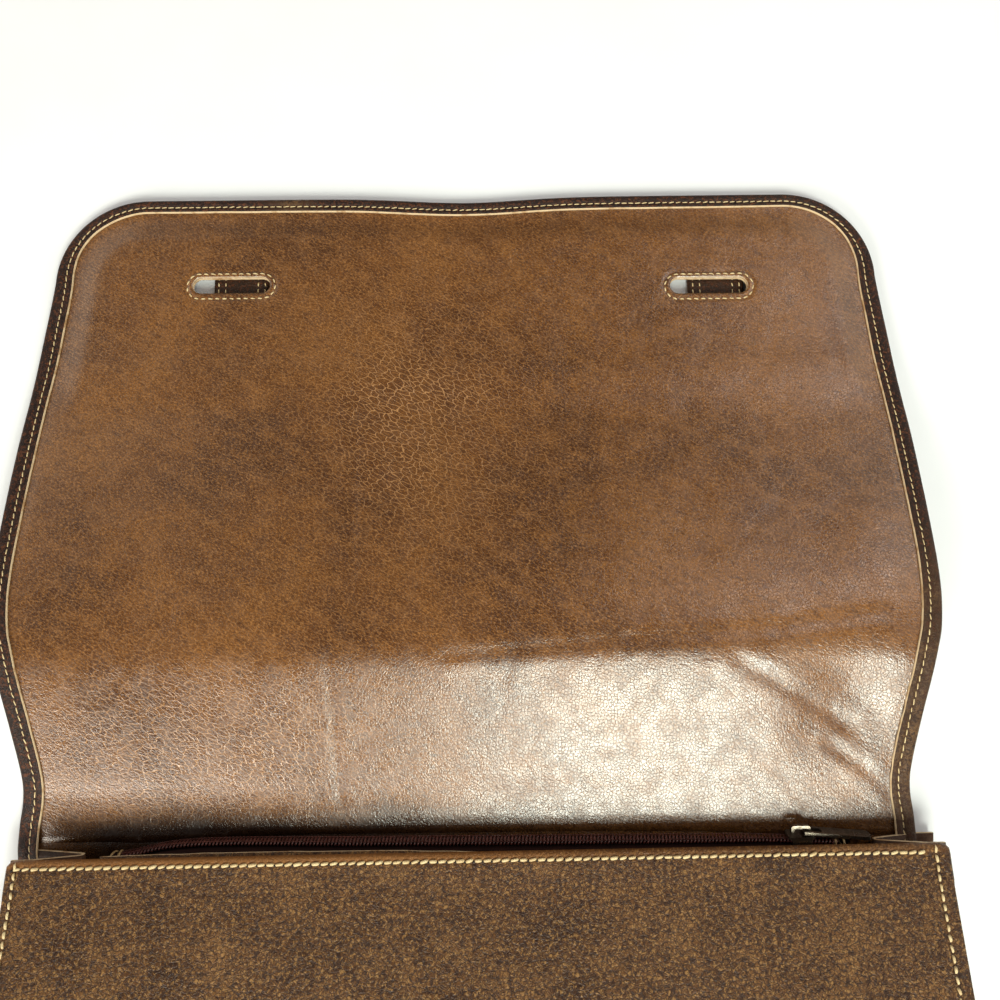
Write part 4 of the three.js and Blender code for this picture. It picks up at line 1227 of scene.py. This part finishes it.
def rounded_corners(corners, radius, steps, between):
    """Flat path through corner points: each corner an arc, each straight cut into short steps."""
    corners = [np.array(corner, float) for corner in corners]
    path = [corners[0]]
    for before, here, after in zip(corners, corners[1:], corners[2:]):
        back = (before - here) / np.linalg.norm(before - here)
        ahead = (after - here) / np.linalg.norm(after - here)
        half = math.acos(float(np.clip(back @ ahead, -1, 1))) / 2
        reach = radius / math.tan(half)
        middle = (back + ahead) / np.linalg.norm(back + ahead)
        centre = here + middle * radius / math.sin(half)
        start, end = here + back * reach - centre, here + ahead * reach - centre
        turn = math.copysign(math.pi - 2 * half, start[0] * end[1] - start[1] * end[0])
        for step in range(steps + 1):
            angle = turn * step / steps
            path.append(centre + (start[0] * math.cos(angle) - start[1] * math.sin(angle),
                                  start[0] * math.sin(angle) + start[1] * math.cos(angle)))
    path.append(corners[-1])
    full = []
    per_leg = steps + 1
    for i in range(len(path) - 1):
        straight = i % per_leg == 0
        count = between if straight else 1
        for step in range(count):
            full.append(path[i] + (path[i + 1] - path[i]) * step / count)
    full.append(path[-1])
    return np.array(full)


def strip_ring(path, thickness, relief=None):
    """Both sides of a flat path: out along one side and back along the other."""
    run = np.gradient(path, axis=0)
    run /= np.linalg.norm(run, axis=1)[:, None]
    normal = np.stack([-run[:, 1], run[:, 0]], 1)
    half = np.full(len(path), thickness / 2)
    half[0] = half[-1] = thickness * 0.36
    middle = path if relief is None else path + normal * relief[:, None]
    return np.concatenate([middle + normal * half[:, None], (middle - normal * half[:, None])[::-1]])


def build_gusset(name, side):
    """Side strip folded inwards as a V that closes towards the mouth."""
    inner = -body_height + seam_flange + outer_leather + 2 * seam_gap
    places = np.linspace(-0.6, inner, 120)
    rings = []
    for y in places:
        high = float(front_under(panel_half, y)) - seam_gap - gusset_leather / 2
        low = outer_leather + float(leather_under(panel_half, y)) + seam_gap + gusset_leather / 2
        half = gusset_half_mouth + (gusset_half_bottom - gusset_half_mouth) * -y / body_height
        gap = (high - low) / 2
        depth = math.sqrt(max(half * half - gap * gap, 4))
        edge, bend = panel_half - 0.2, panel_half - seam_flange
        corners = [(edge, high), (bend, high), (bend - depth, (high + low) / 2), (bend, low), (edge, low)]
        path = rounded_corners(corners, gusset_fold, 5, 9)
        at = np.linspace(0, 1, len(path))
        free = smooth(at / 0.2) * smooth((1 - at) / 0.2) * smooth(-y / 12)
        wave = 0.35 * value_noise(at * 60, np.full_like(at, y), 17, 61 + side) * free
        wave = wave + 0.12 * value_noise(at * 60, np.full_like(at, y), 6, 63 + side) * free
        ring = strip_ring(path, gusset_leather, wave)
        slant = gusset_slant * smooth((y + 14) / 12)
        rings.append([(side * x, y + slant * (high - z) / (high - low) + float(mouth_shift(side * x, y)), z)
                      for x, z in ring])
    count = len(rings[0]) // 2
    piece = swept(f"{name}_leather", rings, ["gusset", "raw"], -flap_shift,
                  edge_columns=(count - 1, 2 * count - 1))
    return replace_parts(piece, name)


def build_bottom():
    """Bottom of the body, with a seam flange turned out along each long edge."""
    wall = -body_height + seam_flange
    reach = panel_half - seam_flange
    rings = []
    for x in np.linspace(-reach, reach, 170):
        edge = -body_height + 0.2
        low = 1.5 * outer_leather + seam_gap
        high = float(front_under(x, wall)) - seam_gap - outer_leather / 2
        high_edge = float(front_under(x, edge)) - seam_gap - outer_leather / 2
        bow = 0.3 + bottom_bow * (1 - (x / reach) ** 2)
        corners = [(edge, high_edge), (wall, high), (wall - bow, (high + low) / 2), (wall, low), (edge, low)]
        path = rounded_corners(corners, bottom_fold, 4, 10)
        at = np.linspace(0, 1, len(path))
        free = smooth(at / 0.2) * smooth((1 - at) / 0.2)
        wave = 0.22 * value_noise(np.full_like(at, x), at * 90, 16, 71) * free
        rings.append([(x, y, z) for y, z in strip_ring(path, outer_leather, wave)])
    count = len(rings[0]) // 2
    piece = swept("bottom_leather", rings, ["outer_wall", "raw"], -flap_shift,
                  edge_columns=(count - 1, 2 * count - 1))
    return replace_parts(piece, "bottom_panel")


# Zip

def bezier(a, b, c, d, steps):
    t = np.linspace(0, 1, steps)[:, None]
    a, b, c, d = (np.array(point, float) for point in (a, b, c, d))
    return (1 - t) ** 3 * a + 3 * (1 - t) ** 2 * t * b + 3 * (1 - t) * t * t * c + t ** 3 * d


def strip_reach(x):
    near = 1 - smooth((abs(x - slider_x) - slider_half_length - 1) / 8)
    own = coil_half_width + seam_gap
    return own + (slider_half_width + seam_gap - own) * near


def tape_edge(x):
    return 0.25 + (post_half_width + seam_gap - 0.25) * smooth((x - post_start + 4) / 4)


def tape_stations():
    return np.concatenate([np.linspace(-1.03 * zip_half, post_start - 6, 150),
                           np.linspace(post_start - 5, tape_half, 30)])


def build_tapes():
    front, back = [], []
    for x in tape_stations():
        zip_place = ZipPlace(x)
        reach = strip_reach(x)
        def point(along, up=0.0):
            return tuple(float(value) for value in zip_place.point(along, up))
        def front_level(y):
            return float(facing_top(x, y)) - facing_leather - seam_gap - tape_cloth / 2
        strip = point(-reach)
        start_y = min(-1, strip[0] - 1)
        bend = bezier((start_y, front_level(start_y)), (start_y + 2, front_level(start_y)),
                      point(-reach - 1), strip, 9)
        path = np.concatenate([[(-tape_seam, front_level(-tape_seam))], bend, [point(-tape_edge(x))]])
        front.append([(x, y, z) for y, z in strip_ring(path, tape_cloth)])
        def back_level(y):
            return float(leather_under(x, y)) + outer_leather + seam_gap + tape_cloth / 2
        strip = point(reach)
        start_y = min(-3, strip[0] - 3)
        flat = max(strip[0] - 2.5, 0)
        bend = bezier((start_y, back_level(start_y)), (flat + 1, back_level(flat) + 0.3),
                      point(reach + 0.8), strip, 10)
        path = np.concatenate([[(-tape_seam, back_level(-tape_seam))], bend, [point(tape_edge(x))]])
        back.append([(x, y, z) for y, z in strip_ring(path, tape_cloth)])
    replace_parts(swept("tape_front_cloth", front, ["tape"], -flap_shift), "zip_tape_front")
    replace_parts(swept("tape_back_cloth", back, ["tape"], -flap_shift), "zip_tape_back")


def coil_path(start, end, side, near, far, phase):
    """One continuous coil: its turns run between near and far from the zip's middle, on one side."""
    turns = (end - start) / coil_pitch
    t = np.linspace(0, turns, int(turns * 12) + 1)
    x = start + coil_pitch * t
    angle = 2 * math.pi * (t + phase)
    middle, half = (near + far) / 2, (far - near) / 2
    across = side * (middle - half * np.cos(angle))
    up = coil_floor + coil_height / 2 + (coil_height / 2 - coil_wire) * np.sin(angle) * side
    y, z = ZipPlace(x).point(across, up)
    return np.stack([x, y, z], 1)


def build_coil():
    start, end = -zip_half + 0.4, post_start - 2.2
    paths = [coil_path(start, end, side, -0.55, coil_half_width - coil_wire, 0.25 + 0.25 * side)
             for side in (-1, 1)]
    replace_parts(tubes("coil_closed", paths, coil_wire, ["coil"], -flap_shift), "zip_coil")
    for name, side in (("front", -1), ("back", 1)):
        near, far = post_half_width + seam_gap + coil_wire, coil_half_width + 2 * seam_gap
        path = coil_path(post_start + 1, zip_half - 1.5, side, near, far, 0)
        piece = tubes(f"coil_open_{name}", [path], coil_wire, ["coil"], -flap_shift)
        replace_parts(piece, f"zip_row_{name}")


def build_tape_sewing():
    """Fine thread rows that hold the coil on its tapes, seen as small dots along both sides."""
    paths = []
    for side in (-1, 1):
        x = np.arange(-zip_half + 1, post_start - 3, 0.36)
        wave = np.sin(2 * math.pi * x / coil_pitch)
        up = coil_floor + coil_height + 0.1 + 0.13 * wave
        y, z = ZipPlace(x).point(side * (coil_half_width * 0.62), up)
        paths.append(np.stack([x, y, z], 1))
    tubes("coil_sewing", paths, coil_thread, ["coil"], -flap_shift, 4)


def build_zip_end_threads():
    """Thread loops that stop the zip at both ends."""
    paths = []
    ends = ((-zip_half - 1.5, 0.5), (-zip_half + 1.2, -0.3), (zip_half - 2.0, 0.4), (zip_half + 0.6, -0.5))
    for x, lean in ends:
        angle = np.linspace(0, 2 * math.pi, 15)
        across = (coil_half_width + 1.0) * np.cos(angle)
        up = coil_floor + 0.8 + 1.7 * np.sin(angle)
        y, z = ZipPlace(x + 0 * angle).point(across, np.maximum(up, -0.1))
        paths.append(np.stack([x + lean * np.cos(angle), y, z], 1))
    tubes("zip_end_threads", paths, end_thread, ["thread_dark"], -flap_shift)


def dress_metal():
    """The slider, its pull and the staples keep their shapes, with their edges rounded."""
    for name in ("zip_slider", "zip_pull", "staple_left", "staple_right"):
        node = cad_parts[name]
        node.data.materials.clear()
        node.data.materials.append(finish_of["metal"])
        bevel = node.modifiers.new("rounded", "BEVEL")
        bevel.width = (zip_round if name.startswith("zip") else staple_round) * MM
        bevel.segments = 3
        bevel.limit_method = "ANGLE"
        bevel.angle_limit = math.radians(35)
        bevel.harden_normals = False


# Camera, light and floor

camera_tilt = 11.18
camera_roll = 0.56
camera_place = (14.98, 58.92 + to_row, 442.15)
camera_focal = 1.0129

# Area lights, in metres: name, place, target, width, height, power and colour
flap_hinge = (0, 0.03, 0)
warm = (1.0, 0.95, 0.84)
area_lights = [
    ("window", (0.26, -0.80, 1.02), (0.06, 0.03, 0), 0.50, 0.44, 21, (0.96, 1.0, 0.87)),
    ("front_left", (-0.9, -1.3, 0.9), flap_hinge, 1.0, 0.5, 28, warm),
    ("back_left", (-1.6, 1.3, 1.1), flap_hinge, 2.0, 1.4, 9, warm),
    ("back_right", (1.6, 1.3, 1.1), flap_hinge, 2.0, 1.4, 11, warm),
    ("left", (-1.7, 0.0, 1.1), flap_hinge, 2.0, 1.4, 9, warm),
    ("right", (1.7, -0.1, 1.1), flap_hinge, 2.0, 1.4, 11, warm),
    ("edge_sheen", (0.62, 0.53, 1.1), (0.187, 0.19, 0), 0.22, 0.45, 1.8, (1, 1, 1)),
]
world_strength = 0.12


def build_camera():
    """Seen steeply from above, tilted a little towards the free edge and rolled slightly."""
    data = bpy.data.cameras.new("camera")
    data.sensor_width = 36
    data.lens = camera_focal * data.sensor_width
    data.clip_start = 0.01
    camera = bpy.data.objects.new("camera", data)
    bpy.context.scene.collection.objects.link(camera)
    tilt, roll = math.radians(camera_tilt), math.radians(camera_roll)
    ahead = Vector((0, math.sin(tilt), -math.cos(tilt)))
    up = Vector((0, math.cos(tilt), math.sin(tilt)))
    right = Vector((1, 0, 0))
    rolled_right = right * math.cos(roll) - up * math.sin(roll)
    rolled_up = right * math.sin(roll) + up * math.cos(roll)
    turn = Matrix((rolled_right, rolled_up, -ahead)).transposed().to_4x4()
    camera.matrix_world = Matrix.Translation(Vector(camera_place) * MM) @ turn
    bpy.context.scene.camera = camera


def build_light():
    """A window that the flap's slope reflects, soft lights all round and one for the right edge's sheen."""
    for name, place, target, width, height, power, colour in area_lights:
        data = bpy.data.lights.new(name, "AREA")
        data.shape = "RECTANGLE"
        data.size, data.size_y = width, height
        data.energy = power
        data.color = colour
        light = bpy.data.objects.new(name, data)
        bpy.context.scene.collection.objects.link(light)
        light.location = place
        light.rotation_euler = (Vector(target) - Vector(place)).to_track_quat("-Z", "Y").to_euler()
    world = bpy.data.worlds.new("studio")
    world.use_nodes = True
    background = world.node_tree.nodes["Background"].inputs
    background["Color"].default_value = (1, 1, 1, 1)
    background["Strength"].default_value = world_strength
    bpy.context.scene.world = world
    bpy.context.scene.view_settings.view_transform = "Standard"


def build_floor():
    size = 3.0
    corners = [(-size, -size, 0), (size, -size, 0), (size, size, 0), (-size, size, 0)]
    mesh = bpy.data.meshes.new("floor")
    mesh.from_pydata(corners, [], [(0, 1, 2, 3)])
    mesh.materials.append(floor_material())
    floor = bpy.data.objects.new("floor", mesh)
    bpy.context.scene.collection.objects.link(floor)


build_camera()
build_light()
build_floor()
build_outer()
build_lining()
build_binding()
build_slot_stitches()
build_strap("strap_left", -1)
build_strap("strap_right", 1)
build_front_panel()
build_front_stitches()
build_facing()
build_gusset("gusset_left", -1)
build_gusset("gusset_right", 1)
build_bottom()
build_tapes()
build_coil()
build_tape_sewing()
build_zip_end_threads()
dress_metal()
